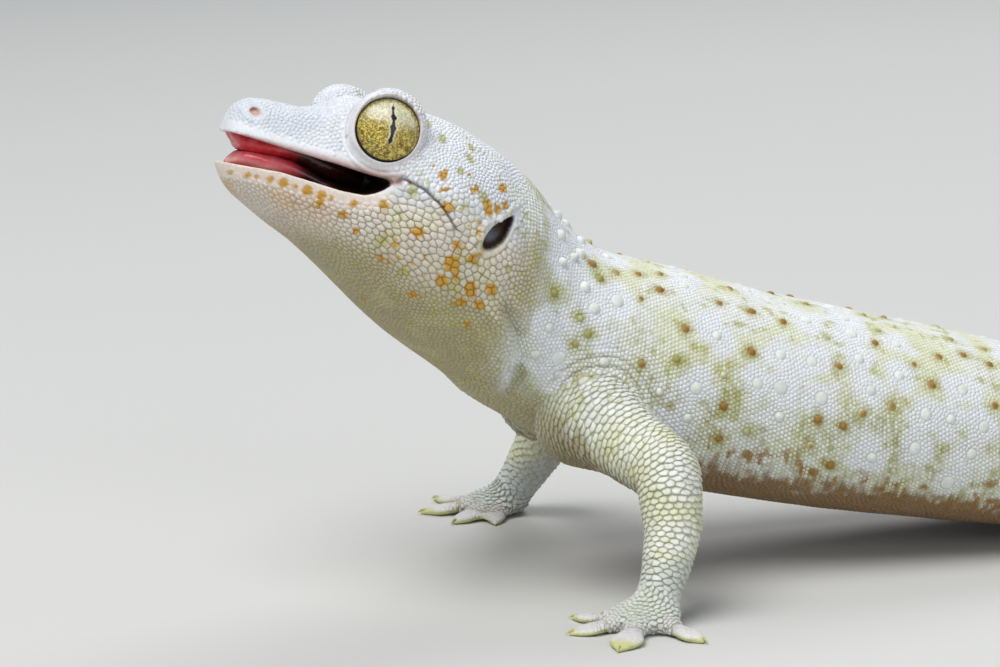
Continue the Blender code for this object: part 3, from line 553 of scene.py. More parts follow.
def makeBodyShells():
    depth = -bodyForm["skinDepth"]
    headEnd = bodyForm["headStation"]
    stations = np.concatenate([np.arange(0, headEnd, 0.07), np.arange(headEnd, bodyForm["ventStation"], 0.1)])
    points = bodyPoints(stations, turns(bodyForm["columns"]), depth)
    whole = shell("skin", np.where((stations < headEnd)[:, None, None], sculptHead(points), points))

    wedge = slab("wedge", mouthForm["upper"] + mouthForm["lower"][::-1])
    centre, sizes = mouthForm["inside"]
    axes = (headBack, headUp, np.array([1.0, 0.0, 0.0]))
    hollow = shell("hollow", ballRings(fromHead(*centre, 0.0), sizes, axes))
    cut(whole, [wedge, hollow])
    setPoints(whole, rolled(pointsOf(whole)))

    behind, above, side = eyeForm["place"]
    orbit = eyeForm["orbit"] + depth
    shells = []
    for sign in (1, -1):
        centre = fromHead(behind, above, side * sign)
        rings = ballRings(centre, (orbit, orbit, eyeForm["bulge"]), eyeAxes(sign))
        shells.append(shell("orbit", rolled(rings)))
    distances = np.linspace(0.0, tailForm["length"], tailForm["rings"])
    tail = tailPoints(distances, turns(tailForm["columns"]), depth)
    tail[0] += np.array([0.0, -tailForm["overlap"], 0.0])
    shells.append(shell("tail", tail))
    for name in limbNames:
        rings = limbRings(name, np.linspace(0.06, 1.0, limbForm["rings"]), limbForm["columns"], depth)[0]
        # the wrist runs down into the palm
        centre, sizes, digits = handForm[name]
        middle = rings[-1].mean(axis=0)
        sink = np.array([*centre, 1.8]) - middle
        tip = [middle + (rings[-1] - middle) * (1 - 0.35 * t) + sink * t for t in (0.3, 0.6, 0.9)]
        rings = np.concatenate([rings, tip])
        rings[..., 2] = np.maximum(rings[..., 2], 0.25)
        shells += [shell("limb", rings), shell("palm", palmRings(centre, sizes, depth))]
        shells += [shell("digit", digitRings(centre, *digit, depth)) for digit in digits]
    return joined(whole, shells)


def edgesOf(made):
    return fetched(made.data.edges, "vertices", 2, np.int32)


def smoothed(points, edges, weight, rounds):
    # moves each point towards the middle of its neighbours, by its own share
    count = np.maximum(np.bincount(edges.ravel(), minlength=len(points)), 1)[:, None]
    ends, others = edges.T.ravel(), edges[:, ::-1].T.ravel()
    for _ in range(rounds):
        total = np.stack([np.bincount(ends, points[others, i], len(points)) for i in range(3)], -1)
        points = points + (total / count - points) * weight[:, None]
    return points


skinMesh = {
    "voxel": 0.42,
    "keepAll": 46.0,  # no face is joined to its neighbours this far behind the snout tip
    "ratio": 0.42,
}


def makeSkin():
    skin = makeBodyShells()
    skin.data.remesh_voxel_size = skinMesh["voxel"] * mm
    skin.data.remesh_voxel_adaptivity = 0.0
    pick(skin)
    bpy.ops.object.voxel_remesh()
    # fewer faces behind the head, where the scales carry the form
    behind = toHead(pointsOf(skin))[0]
    group = skin.vertex_groups.new(name="joinable")
    group.add(np.flatnonzero(behind > skinMesh["keepAll"]).tolist(), 1.0, "REPLACE")
    fewer = skin.modifiers.new("fewer", "DECIMATE")
    fewer.ratio = skinMesh["ratio"]
    fewer.vertex_group = "joinable"
    bpy.ops.object.modifier_apply(modifier="fewer")
    skin.vertex_groups.clear()
    skin.data.materials.clear()
    refine(skin)
    print("skin remeshed", len(skin.data.polygons))
    return skin


def refine(skin):
    # splits the faces round the eyes, the mouth, the nostrils and the ears
    data = skin.data
    corners = fetched(data.loops, "vertex_index", 1, np.int32)
    starts, sizes = [fetched(data.polygons, name, 1, np.int32) for name in ("loop_start", "loop_total")]
    points = pointsOf(skin)[corners[starts]]
    behind, above, side = unrolled(points)

    def far(form):
        return np.hypot(behind - form["place"][0], above - form["place"][1])

    chosen = (behind < 10) & (far(noseForm) < 1.8)
    for sign in (1, -1):
        across, over, ahead = inEye(points, sign)
        chosen |= (np.abs(np.hypot(across, over) - 5.2) < 1.7) & (ahead > -2)
    for name in ("upper", "lower"):
        chosen |= (np.abs(above - lipLevel(name, behind)) < 1.0) & (behind < 24)
    chosen |= (far(earForm) < 4.6) & (np.abs(side) > 10)
    chosen |= (creaseReach(behind, above)[0] < 1.3) & (np.abs(side) > 8)
    reach = np.hypot(points[:, 1] - shoulderForm["centre"][0], points[:, 2] - shoulderForm["centre"][1])
    creased = (reach > shoulderForm["first"] - 1) & (reach < shoulderForm["last"])
    chosen |= creased & (np.abs(points[:, 0]) > 7)
    # the corners of the chosen faces
    near = np.zeros(len(data.vertices), bool)
    near[corners[np.repeat(chosen, sizes)]] = True
    data.vertices.foreach_set("select", near)
    data.edges.foreach_set("select", near[edgesOf(skin)].all(axis=1))
    data.polygons.foreach_set("select", np.minimum.reduceat(near[corners], starts))
    bpy.ops.object.mode_set(mode="EDIT")
    bpy.ops.mesh.subdivide(number_cuts=1)
    bpy.ops.object.mode_set(mode="OBJECT")


def creaseReach(behind, above):
    # how far a place is from the crease behind the mouth, and how far along it
    path = np.array(folds["mouthCorner"][0])[:, :2]
    return distanceToPath(np.stack([behind, above], -1), path)


def lipLevel(name, behind):
    knots, levels = np.array(mouthForm[name]).T
    return curve(knots, levels, np.clip(behind, knots[0], knots[-1]))


def lipBand(behind, above):
    # the smooth band along both lips
    upper = above - lipLevel("upper", behind)
    lower = above - lipLevel("lower", behind)
    band = ease(-0.6, -0.2, upper) * ease(1.9, 1.4, upper)
    band = np.maximum(band, ease(-2.25, -1.75, lower) * ease(0.6, 0.2, lower))
    return band * ease(22.0, 19.0, behind)


# Guides: where a point lies on the animal, and which way its scales point.

guideForm = {
    "bodyColumns": 170,
    "denseTo": 14,  # the rings stand closer together up to this station
    "denseStep": 0.055,
    "step": 0.12,
    "tailColumns": 64,
    "tailRings": 240,
    "limbRings": 80,
}


def makeGuides():
    parts = {key: [] for key in ("points", "part", "lie", "along", "around", "station")}

    def keep(points, part, lie, along, around, station):
        shape = points.shape[:2]
        parts["points"].append(points.reshape(-1, 3))
        parts["part"].append(np.full(shape, part).ravel())
        parts["lie"].append((np.zeros(points.shape) + lie).reshape(-1, 3))
        for key, value in (("along", along), ("around", around), ("station", station)):
            parts[key].append((np.zeros(shape) + value).ravel())

    depth = -bodyForm["skinDepth"]
    around = (np.arange(guideForm["bodyColumns"]) + 0.5) / guideForm["bodyColumns"]
    middle, end = guideForm["denseTo"], bodyForm["ventStation"] + 0.01
    stations = [np.arange(0.0, middle, guideForm["denseStep"]), np.arange(middle, end, guideForm["step"])]
    stations = np.concatenate(stations)
    points = bodyPoints(stations, 2 * math.pi * around, depth)
    headRows = (stations < bodyForm["headStation"])[:, None, None]
    points = rolled(np.where(headRows, sculptHead(points), points))
    along = wayAlong(points.mean(axis=1))
    keep(points, 0, unit(np.gradient(points, axis=0)), along[:, None], around[None], stations[:, None])

    around = (np.arange(guideForm["tailColumns"]) + 0.5) / guideForm["tailColumns"]
    distances = np.linspace(1.0, tailForm["length"], guideForm["tailRings"])
    points = tailPoints(distances, 2 * math.pi * around, depth)
    keep(points, 1, unit(np.gradient(points, axis=0)), along[-1] + distances[:, None], around[None], 30.0)
    columns = limbForm["columns"]
    around = (np.arange(columns) / columns)[None]
    for i, name in enumerate(limbNames):
        shares = np.linspace(0.10, 0.97, guideForm["limbRings"])
        rings, direction, length = limbRings(name, shares, columns, depth)
        keep(rings, 2 + i, direction[:, None], (shares * length)[:, None], around, 0.0)
        centre, sizes, digits = handForm[name]
        rings = palmRings(centre, sizes, depth)
        outward = unit(rings[..., :2] - np.array(centre))
        keep(rings, 6 + i, np.concatenate([outward, np.zeros(rings.shape[:2] + (1,))], -1), 0.0, 0.0, 0.0)
        for degrees, reach, padWidth in digits:
            rings = digitRings(centre, degrees, reach, padWidth, depth)
            along = np.linspace(0, 1, len(rings))[:, None] * reach
            keep(rings, 6 + i, headingOf(degrees)[0], along, 0.0, 1.0)
    made = {key: np.concatenate(value) for key, value in parts.items()}
    made["tree"] = treeOf(made["points"])
    # the place on the trunk beside each guide of a limb
    limbs = np.flatnonzero(made["part"] >= 2)
    trunkTree = treeOf(made["points"], np.flatnonzero(made["part"] <= 1)[::3])
    made["trunk"] = np.arange(len(made["points"]))
    made["trunk"][limbs] = [trunkTree.find(point)[1] for point in made["points"][limbs]]
    return made


def treeOf(points, chosen=None):
    chosen = range(len(points)) if chosen is None else chosen
    tree = KDTree(len(chosen))
    for i in chosen:
        tree.insert(points[i], i)
    tree.balance()
    return tree


def placeOf(points):
    # the guide nearest to each point, and how far off it is
    found = [guides["tree"].find(point)[1:] for point in points]
    return np.array([each[0] for each in found], int), np.array([each[1] for each in found], float)


def whereIs(points, place):
    # the part of the animal, station, way along it, sine of the angle round it, and place on a level head
    part, station, along = [guides[key][place] for key in ("part", "station", "along")]
    return part, station, along, np.sin(2 * math.pi * guides["around"][place]), unrolled(points)


# Folds, rims, pits and lips are pressed into the skin.

def eyeFrame(sign):
    behind, above, side = eyeForm["place"]
    centre = fromHead(behind, above, side * sign)
    moved = rolled(centre)
    return moved, [unit(rolled(centre + axis * 0.1) - moved) for axis in eyeAxes(sign)]


def inEye(points, sign):
    centre, axes = eyeFrame(sign)
    return [(points - centre) @ axis for axis in axes]


def distanceToPath(points, path):
    # how far each point is from the path, and how far along it, as a share
    path = np.array(path, float)
    best = np.full(len(points), 1e9)
    along = np.zeros(len(points))
    for i, (start, end) in enumerate(zip(path[:-1], path[1:])):
        leg = end - start
        raw = (points - start) @ leg / (leg @ leg)
        share = np.clip(raw, 0, 1)
        gap = np.linalg.norm(points - start - share[:, None] * leg, axis=1)
        near = gap < best
        best = np.where(near, gap, best)
        along = np.where(near, (i + raw) / (len(path) - 1), along)
    return best, along


folds = {
    # paths in the head's frame (behind, above, side): crease depth, crease width, swelling beside it
    "mouthCorner": ([(21.3, 0.7, 13.4), (22.2, 1.45, 13.9), (24.8, 0.8, 15.1), (27.1, -0.5, 15.7),
                     (29.1, -2.1, 16.2), (31.0, -3.5, 16.3)], 0.46, 0.30, 0.24),
    "beforeEye": ([(12.7, 10.1, 9.0), (12.3, 8.3, 10.6), (12.7, 6.0, 11.4), (13.9, 4.0, 12.0),
                   (15.6, 2.4, 12.6)],
                  0.22, 0.42, 0.16),
    "throat": ([(38.6, -8.6, 15.4), (40.9, -10.4, 15.2), (43.5, -12.8, 14.1), (45.3, -15.8, 13.0),
                (46.2, -18.6, 11.5), (46.6, -21.4, 8.5)], 0.85, 0.85, 0.30),
    "neckSide": ([(45.0, -3.0, 14.6), (47.5, -8.0, 14.6), (51.0, -13.0, 14.4)], 0.16, 1.0, 0.14),
    "gularRidge": ([(37.0, -9.6, 15.3), (39.3, -11.3, 15.2), (41.9, -13.5, 14.1), (43.6, -16.3, 13.2),
                    (44.4, -18.8, 12.0), (45.1, -21.8, 7.9)], -0.75, 0.62, 0.0),
    "behindEar": ([(39.5, 3.5, 15.6), (40.8, -0.5, 16.0), (41.0, -4.5, 15.8)], 0.18, 0.7, 0.12),
}
foldFlatness = 0.3


def pressFolds(points, normals):
    # the paths follow the side of the head, so the distance across it counts less
    behind, above, side = unrolled(points)
    flat = np.array([1.0, 1.0, foldFlatness])
    mirrored = np.stack([behind, above, np.abs(side)], -1) * flat
    near = (behind < 62) & (np.abs(side) > 2)
    move = np.zeros(len(points))
    for path, depth, width, swelling in folds.values():
        reach, along = distanceToPath(mirrored[near], np.array(path) * flat)
        press = -depth * bump(reach, width) + swelling * bump(reach - 2.2 * width, 1.1 * width)
        move[near] += press * (ease(-0.02, 0.22, along) * ease(1.02, 0.78, along))
    move = move - shoulderForm["depth"] * shoulderCreases(points)
    return points + normals * move[:, None]


shoulderForm = {
    # creases curve round a place above the left and the right arm (y, z)
    "centre": (9.3, 25.2),
    "first": 4.5,
    "last": 9.2,
    "pitch": 1.18,
    "depth": 0.22,
}


def shoulderCreases(points):
    first, last = shoulderForm["first"], shoulderForm["last"]
    dy = points[..., 1] - shoulderForm["centre"][0]
    dz = points[..., 2] - shoulderForm["centre"][1]
    reach = np.hypot(dy, dz) + 0.5 * (cloud(points, 3.5, 18) - 0.5)
    wave = np.cos(2 * math.pi * (reach - first) / shoulderForm["pitch"])
    fade = ease(first - 0.5, first + 0.2, reach) * ease(last, last - 3.0, reach)
    fade = fade * ease(0.0, 3.0, dz + 0.25 * dy)
    return ease(0.3, 1.0, wave) * fade * ease(7.5, 10.0, np.abs(points[..., 0]))


def pressEyes(points, normals):
    window = eyeForm["window"]
    for sign in (1, -1):
        across, over, ahead = inEye(points, sign)
        axes = eyeFrame(sign)[1]
        radius = np.hypot(across, over)
        out = radius - window
        front = ahead > 0.3
        # the lid stands over the ball above
        ball = eyeForm["bulge"] * np.sqrt(np.clip(1 - (radius / eyeForm["radius"]) ** 2, 0, 1))
        lid = 0.50 * ease(-1.0, 3.4, over)
        inner = ball - 1.3
        share = ease(window - 0.10, window + 0.16, radius)
        wanted = inner + (np.maximum(ahead, ball - 0.10 + lid) - inner) * share
        within = radius < window + 0.16
        points = points + np.where(front & within, wanted - ahead, 0)[:, None] * axes[2]
        lid = lid * ease(window + 2.2, window + 0.2, radius)
        points = points + np.where(front & ~within, lid, 0)[:, None] * axes[2]
        # the smooth rim round the eye, with creases before it
        before = ease(-1.5, 1.5, across - 0.5 * over)
        lift = 0.12 * bump(out - 1.70, 0.30) - 0.30 * bump(out - 1.28, 0.18) - 0.16 * bump(out - 2.10, 0.20)
        lift = 0.10 * bump(out - 0.40, 0.34) + before * lift
        points = points + np.where(front & (radius < 7.5), lift, 0)[:, None] * normals
        # the brow overhangs the eye
        brow = bump(out - 0.90, 0.70) * ease(-0.5, 3.4, over) * (ahead > -1.5) * (radius > window)
        points = points + (0.50 * axes[1] + 0.30 * axes[2]) * brow[:, None]
    return points


def noseReach(behind, above):
    return np.hypot(behind - noseForm["place"][0], (above - noseForm["place"][1]) * 1.15)


def pressPits(points, normals):
    behind, above, side = unrolled(points)
    outward = np.abs(side)
    inward = np.where(side > 0, -1.0, 1.0)[:, None] * np.array([1.0, 0.0, 0.0])

    def moved(near, pit, rim):
        return inward * np.where(near, pit, 0)[:, None] + normals * np.where(near, rim, 0)[:, None]

    reach = noseReach(behind, above)
    near = (outward > noseForm["place"][2] - 2.4) & (above > 1)
    pit = 0.9 * (1 - ease(0.35, 1.0, reach / noseForm["radius"]))
    nose = moved(near, pit, 0.16 * bump(reach - 1.35, 0.45))
    dx = behind - earForm["place"][0]
    dy = above - earForm["place"][1]
    cosine, sine = math.cos(earForm["slant"]), math.sin(earForm["slant"])
    lengthwise = dx * cosine + dy * sine
    crosswise = dy * cosine - dx * sine
    # the opening is a pointed slit above and rounder below
    width = earForm["halfWidth"] * (1 - 0.45 * ease(-1.0, 3.4, lengthwise))
    share = np.hypot(lengthwise / earForm["halfLength"], crosswise / width)
    rim = 0.35 * bump(share - 1.45, 0.35) * ease(-1.0, 1.5, crosswise)
    ear = moved(outward > 10, earForm["depth"] * (1 - ease(0.55, 1.05, share)), rim)
    return points + nose + ear, share


def shapeSkin():
    edges = edgesOf(skin)
    points = pointsOf(skin)
    points[:, 2] = np.maximum(points[:, 2], 0.0)
    points = smoothed(points, edges, np.full(len(points), 0.5), 3)
    # the roots of the limbs, the wrists and ankles, and the edges of the orbits run together
    roots = [limbForm[name][1][:3] for name in limbNames]
    wrists = [handForm[name][0] + (1.5,) for name in limbNames]
    for centres, strength, near, far, rounds in ((roots, 0.6, 5.5, 10.0, 50), (wrists, 0.5, 5.5, 9.5, 22)):
        reach = np.min([np.linalg.norm(points - np.array(centre), axis=1) for centre in centres], axis=0)
        points = smoothed(points, edges, strength * (1 - ease(near, far, reach)), rounds)
    weight = np.zeros(len(points))
    for sign in (1, -1):
        across, over, ahead = inEye(points, sign)
        radius = np.hypot(across, over)
        share = 0.5 * (ahead > -3) * ease(4.6, 5.4, radius) * (1 - ease(7.0, 9.0, radius))
        weight = np.maximum(weight, share)
    points = smoothed(points, edges, weight, 14)
    points[:, 2] = np.maximum(points[:, 2], 0.04)
    setPoints(skin, points)

    place, off = placeOf(points)
    behind, above, side = unrolled(points)
    frames = [inEye(points, sign) for sign in (1, -1)]
    eyes = np.minimum(*[np.hypot(across, over) + 20 * (ahead < 0) for across, over, ahead in frames])
    lining = (off > 0.60) & (behind < 25) & (np.abs(side) < 14) & (guides["part"][place] == 0)
    lining &= (eyes > 7.0) & (above < 3.4)
    normals = normalsOf(skin)
    points = pressEyes(pressFolds(points, normals), normals)
    points, ear = pressPits(points, normals)
    lumps = 0.22 * (cloud(points, 7.0, 3) - 0.5) + 0.12 * (cloud(points, 3.0, 5) - 0.5)
    calm = np.where((behind < 12) | (eyes < 7), 0.25, 1.0)
    points = points + normals * (lumps * calm * (points[:, 2] > 0.5))[:, None]
    setPoints(skin, smoothed(points, edges, 0.5 * lining, 24))
    return lining, ear


# Colours.

tones = {
    # red, green and blue as the eye sees them, from 0 to 1
    "snow": (0.93, 0.94, 0.96),
    "headWhite": (0.87, 0.89, 0.92),
    "cheek": (0.88, 0.85, 0.80),
    "jaw": (0.88, 0.76, 0.62),
    "hand": (0.82, 0.84, 0.84),
    "throat": (0.70, 0.66, 0.50),
    "neck": (0.85, 0.87, 0.81),
    "back": (0.90, 0.91, 0.81),
    "flank": (0.89, 0.91, 0.85),
    # brown of the belly; where the surface faces down it also stands for painted shade
    "belly": (0.54, 0.40, 0.23),
    "limb": (0.92, 0.93, 0.88),
    "pad": (0.87, 0.86, 0.86),
    "padEdge": (0.80, 0.81, 0.46),
    "olive": (0.72, 0.71, 0.42),
    "yellow": (0.86, 0.86, 0.64),
    "ochre": (0.80, 0.60, 0.16),
    "amber": (0.61, 0.43, 0.07),
    "moss": (0.64, 0.61, 0.32),
    "gum": (0.84, 0.70, 0.66),
    "crimson": (0.79, 0.16, 0.20),
    "pink": (0.86, 0.42, 0.46),
    "deepMouthShade": (0.16, 0.09, 0.07),
    "lipUnderShade": (0.66, 0.48, 0.42),
    # painted shade for creases and folds
    "lipPale": (0.93, 0.87, 0.82),
    "creaseShade": (0.42, 0.37, 0.33),
    "earPitShade": (0.30, 0.20, 0.16),
    "earMembrane": (0.52, 0.55, 0.58),
    "claw": (0.74, 0.72, 0.44),
    "nostril": (0.80, 0.66, 0.60),
    "irisGold": (0.90, 0.81, 0.42),
    "irisOlive": (0.30, 0.24, 0.06),
    "irisRust": (0.50, 0.27, 0.13),
    "irisPaleAndSkyReflection": (0.92, 0.93, 0.87),
    "irisGreen": (0.72, 0.72, 0.36),
    "irisBlack": (0.03, 0.03, 0.03),
}


def tone(name):
    # the tone as light, which is what a shader works in
    value = np.array(tones[name])
    return np.where(value <= 0.04045, value / 12.92, ((value + 0.055) / 1.055) ** 2.4)


def plain(name, points):
    return np.zeros((len(points), 3)) + tone(name)


def mixed(colour, other, share):
    # the other colour is a tone's name or a colour for each point
    share = np.clip(share, 0, 1)[..., None]
    return colour * (1 - share) + (tone(other) if isinstance(other, str) else other) * share


def layered(colour, *layers):
    for other, share in layers:
        colour = mixed(colour, other, share)
    return colour


markings = {
    # ochre and olive spots of the near cheek in the head's frame (behind, above, radius, tone)
    "cheek": [
        (26.6, 3.1, 0.8, "ochre"), (28.2, -0.5, 1.0, "ochre"), (24.9, 1.7, 0.6, "olive"),
        (30.7, -4.6, 1.1, "ochre"), (33.2, -5.5, 1.0, "ochre"), (30.6, -7.1, 1.4, "ochre"),
        (30.5, -9.7, 1.1, "ochre"), (34.3, -9.1, 1.2, "ochre"), (34.1, -11.3, 0.9, "ochre"),
        (36.4, -10.6, 0.9, "ochre"), (37.1, -8.1, 1.0, "ochre"), (25.4, -4.7, 1.0, "ochre"),
        (25.7, -10.0, 0.9, "olive"), (16.4, -5.1, 0.9, "ochre"), (13.5, -4.6, 0.8, "ochre"),
        (30.4, 6.6, 0.8, "olive"), (32.7, 2.5, 1.0, "olive"), (35.6, 4.6, 0.9, "ochre"),
        (33.6, 1.9, 1.0, "ochre"), (24.3, 9.4, 0.9, "olive"), (26.4, 8.0, 0.7, "olive"),
        (30.9, 7.9, 0.7, "olive"), (23.3, 0.1, 0.9, "olive"), (20.6, -2.4, 0.7, "ochre"),
        (22.0, -7.0, 1.0, "olive"), (18.6, -6.6, 0.8, "ochre"), (28.0, -12.6, 0.9, "ochre"),
        (33.0, -2.0, 0.8, "ochre"), (33.8, 1.1, 0.9, "ochre"), (35.0, 1.9, 0.9, "ochre"),
        (36.4, 2.9, 0.8, "ochre"), (38.6, -4.6, 0.8, "olive"), (28.9, 4.6, 0.6, "olive"),
        (36.0, -13.6, 0.8, "ochre"), (31.4, -13.8, 0.8, "olive"),
    ],
    # spots along the lower lip (behind, radius)
    "lip": [(2.5, 0.35), (4.3, 0.55), (5.3, 0.38), (6.9, 0.58), (8.5, 0.76), (10.0, 0.42), (11.5, 0.90),
            (13.3, 0.76), (14.5, 0.42), (17.2, 0.72)],
    "throatLine": [(0.0, -4.6), (8.0, -6.4), (17.0, -6.6), (22.0, -7.2), (29.0, -10.6), (37.0, -9.9),
                   (45.0, -12.0)],
    "whiteEvery": 3,
    "rowPitch": 4.3,
    "firstRow": 7.0,
}


def belowThroatLine(behind, above):
    # how far a place is below the line where the cheek's plates give way to the throat's small scales
    line = np.array(markings["throatLine"])
    return np.interp(behind, line[:, 0], line[:, 1]) - above


def paint(points, normals, place, ear, lining):
    # the animal's colour at each point, the same for the skin and for the scales on it, with painted shade
    # and a painted highlight in some places; the root of a limb takes the colours of the trunk beside it
    beside = guides["trunk"][place]
    _, station, _, rise, (behind, above, side) = whereIs(points, beside)
    part = guides["part"][place]
    limb, hand, trunk = (part >= 2) & (part <= 5), part >= 6, part <= 1
    head = trunk & (station < 14.2)
    outward = np.abs(side)
    inside = np.asarray(lining, float)

    def noise(size, seed, *stretch):
        return cloud(points * np.array(stretch or (1.0, 1.0, 1.0)), size, seed)

    soft, grain, mottle = noise(5.5, 1), noise(1.5, 2), noise(2.2, 15)
    fleck = noise(0.85, 4, 1.0, 1.6, 0.6)

    # trunk and tail: cream above, greener flanks and a brown belly, deepened as painted shade where it faces
    # down, with single olive and white scales in upright rows low on the flanks
    patches = ease(0.54, 0.70, soft)
    wash = ease(0.46, 0.66, fleck) * (0.35 + 0.65 * ease(0.42, 0.62, mottle))
    high = 1 - 0.7 * ease(0.2, 0.7, rise)
    spots = ease(0.70, 0.77, noise(0.95, 19, 1.0, 1.2, 0.8)) * ease(-0.4, -0.1, rise) * trunk
    speck = noise(0.45, 16, 1.0, 1.5, 0.6)
    lowFlank = ease(0.62, 0.10, rise) * ease(-0.80, -0.55, rise)
    streak = noise(0.8, 17, 0.8, 1.5, 0.28)
    low = ease(-0.40, -0.64, rise + 0.14 * (soft - 0.5) + 0.30 * (streak - 0.5))
    # painted shade: the belly's brown is kept to surfaces that face down
    low = low * ease(0.35, -0.05, normals[:, 2])
    stain = ease(0.66, 0.74, noise(0.95, 9, 0.8, 1.3, 0.6)) * bump(rise + 0.38, 0.26)
    colour = layered(
        plain("back", points),
        ("flank", 0.85 * ease(0.55, -0.05, rise)),
        ("snow", 0.65 * patches * ease(-0.75, -0.3, rise)),
        ("olive", 0.36 * wash * ease(-0.85, -0.60, rise) * (1 - 0.5 * patches) * high),
        ("olive", 0.75 * spots),
        ("yellow", 0.18 * ease(0.45, 0.7, noise(3.2, 8)) * (1 - 0.8 * patches)),
        ("moss", 0.62 * lowFlank * ease(0.50, 0.72, speck) * (0.3 + 0.7 * ease(0.40, 0.60, mottle))),
        ("snow", 0.55 * lowFlank * ease(0.46, 0.30, speck)),
        ("belly", 0.9 * low),
        ("amber", 0.9 * stain * (part == 0)))

    # neck and throat
    neck = station < 18.5
    gular = neck * ease(-0.25, -0.62, rise) * ease(19.5, 16.0, station) * ease(-0.5, -0.8, rise)
    toRidge = ease(-0.6, 2.0, belowThroatLine(behind, above)) * ease(0.5, -0.8, behind + 0.42 * above - 33.2)
    gular = np.maximum(gular, toRidge * (behind > 30) * neck)
    # painted shade on the side of the neck behind the throat's fold, in the throat's tone
    shade = bump(behind - 41.0, 4.0) * ease(3.0, -2.0, above) * ease(-14.0, -8.0, above) * neck
    colour = layered(
        colour,
        (layered(plain("neck", points), ("snow", 0.6 * patches), ("olive", 0.50 * wash)),
         ease(18.5, 15.0, station) * neck),
        ("throat", 0.85 * gular),
        ("throat", 0.90 * shade))
    chosen = trunk & (behind > 34) & (behind < 50)
    if chosen.any():
        flat = np.array([1.0, 1.0, foldFlatness])
        mirrored = np.stack([behind, above, outward], -1)[chosen] * flat
        # painted shade along the throat's fold, and a painted highlight along the pale ridge before it
        lines = (("throat", "creaseShade", 0.9, 0.22), ("gularRidge", "headWhite", 0.75, 1.0))
        for name, hue, width, share in lines:
            reach, way = distanceToPath(mirrored, np.array(folds[name][0]) * flat)
            line = np.zeros(len(points))
            line[chosen] = share * bump(reach, width) * ease(-0.02, 0.08, way) * ease(1.02, 0.8, way)
            colour = mixed(colour, hue, line)

    # head: white above, warmer cheeks, beige chin
    temple = ease(18, 23, behind) * ease(38, 34, behind) * ease(0.0, 2.0, above)
    jawSide = ease(0.5, 3.0, behind) * ease(19.0, 12.0, behind) * bump(above + 5.6, 4.0)
    lips = lipBand(behind, above)
    white = layered(
        plain("headWhite", points),
        ("snow", 0.7 * ease(0.45, 0.7, soft)),
        ("cheek", 0.9 * ease(1.5, -3.0, above) * ease(9.0, 20.0, behind)),
        # painted shade on the lower cheek, in the throat's tone
        ("throat", 0.30 * ease(-3.0, -9.0, above) * ease(18, 24, behind)),
        ("snow", 0.8 * temple),
        ("throat", 0.8 * ease(-0.6, 3.0, belowThroatLine(behind, above) + 2.4 * (soft - 0.5))),
        ("jaw", 0.80 * jawSide * (0.6 + 0.4 * ease(0.4, 0.6, soft))),
        ("yellow", 0.22 * (1 - temple) * ease(0.55, 0.75, noise(2.6, 8)) * ease(14, 24, behind)),
        ("snow", 0.8 * lips),
        ("lipPale", 0.9 * lips * ease(-1.2, -1.8, above - 0.02 * behind)))
    colour = mixed(colour, white, head * ease(14.2, 12.6, station))
    spots = {"ochre": np.zeros(len(points)), "olive": np.zeros(len(points))}
    for i, (spotBehind, spotAbove, radius, name) in enumerate(markings["cheek"]):
        # the far cheek has the same kind of spots in other places
        dx = behind - spotBehind + np.where(side > 0, 0, 1.3 * math.sin(5.0 * i))
        dy = above - spotAbove + np.where(side > 0, 0, 1.3 * math.cos(7.0 * i))
        reach = np.hypot(dx, dy) + 0.7 * (grain - 0.5)
        share = ease(0.66 * radius + 0.25, 0.66 * radius - 0.15, reach) * (outward > 5)
        spots[name] = np.maximum(spots[name], share)
    scattered = ease(0.74, 0.77, noise(0.8, 12)) * ease(19, 24, behind) * ease(38, 33, behind)
    scattered = scattered * ease(7.5, 3.0, above) * ease(-17, -14, above) * ease(0.48, 0.58, soft)
    flecks = 0.8 * ease(0.62, 0.69, noise(0.8, 14)) * ease(15, 22, behind) * ease(0.45, 0.6, mottle)
    onHead = head * (1 - inside)
    colour = layered(
        colour,
        ("olive", 0.80 * np.maximum(spots["olive"], flecks * (1 - 0.6 * temple)) * onHead * (behind < 44)),
        ("ochre", 0.95 * ease(0.35, 0.70, np.maximum(spots["ochre"], scattered)) * onHead * (behind < 44)))
    lower = lipLevel("lower", behind)
    for spotBehind, radius in markings["lip"]:
        reach = np.hypot(behind - spotBehind, (above - lower + 1.25) * 0.9) + 0.15 * (grain - 0.5)
        share = ease(0.72 * radius + 0.14, 0.72 * radius - 0.14, reach)
        colour = mixed(colour, "ochre", 0.95 * share * onHead * (behind < 18.5))

    # tubercles stain the scales round them
    for kind, reachOf in tubercleReach.items():
        reach = reachOf(points)
        if kind == "white":
            halo = ease(3.6, 2.0, reach + 1.8 * (grain - 0.5) + 1.6 * (mottle - 0.5))
            layers = [("snow", 0.92 * halo), ("neck", 0.45 * ease(1.05, 0.85, reach))]
        else:
            halo = ease(1.6, 0.7, reach + 1.3 * (grain - 0.5) + 0.9 * (fleck - 0.5))
            middle = 0.95 * ease(0.85, 0.40, reach + 0.5 * (grain - 0.5))
            layers = [("olive", 0.55 * halo), ("amber" if kind == "ochre" else "moss", middle)]
        colour = layered(colour, *[(name, share * trunk) for name, share in layers])

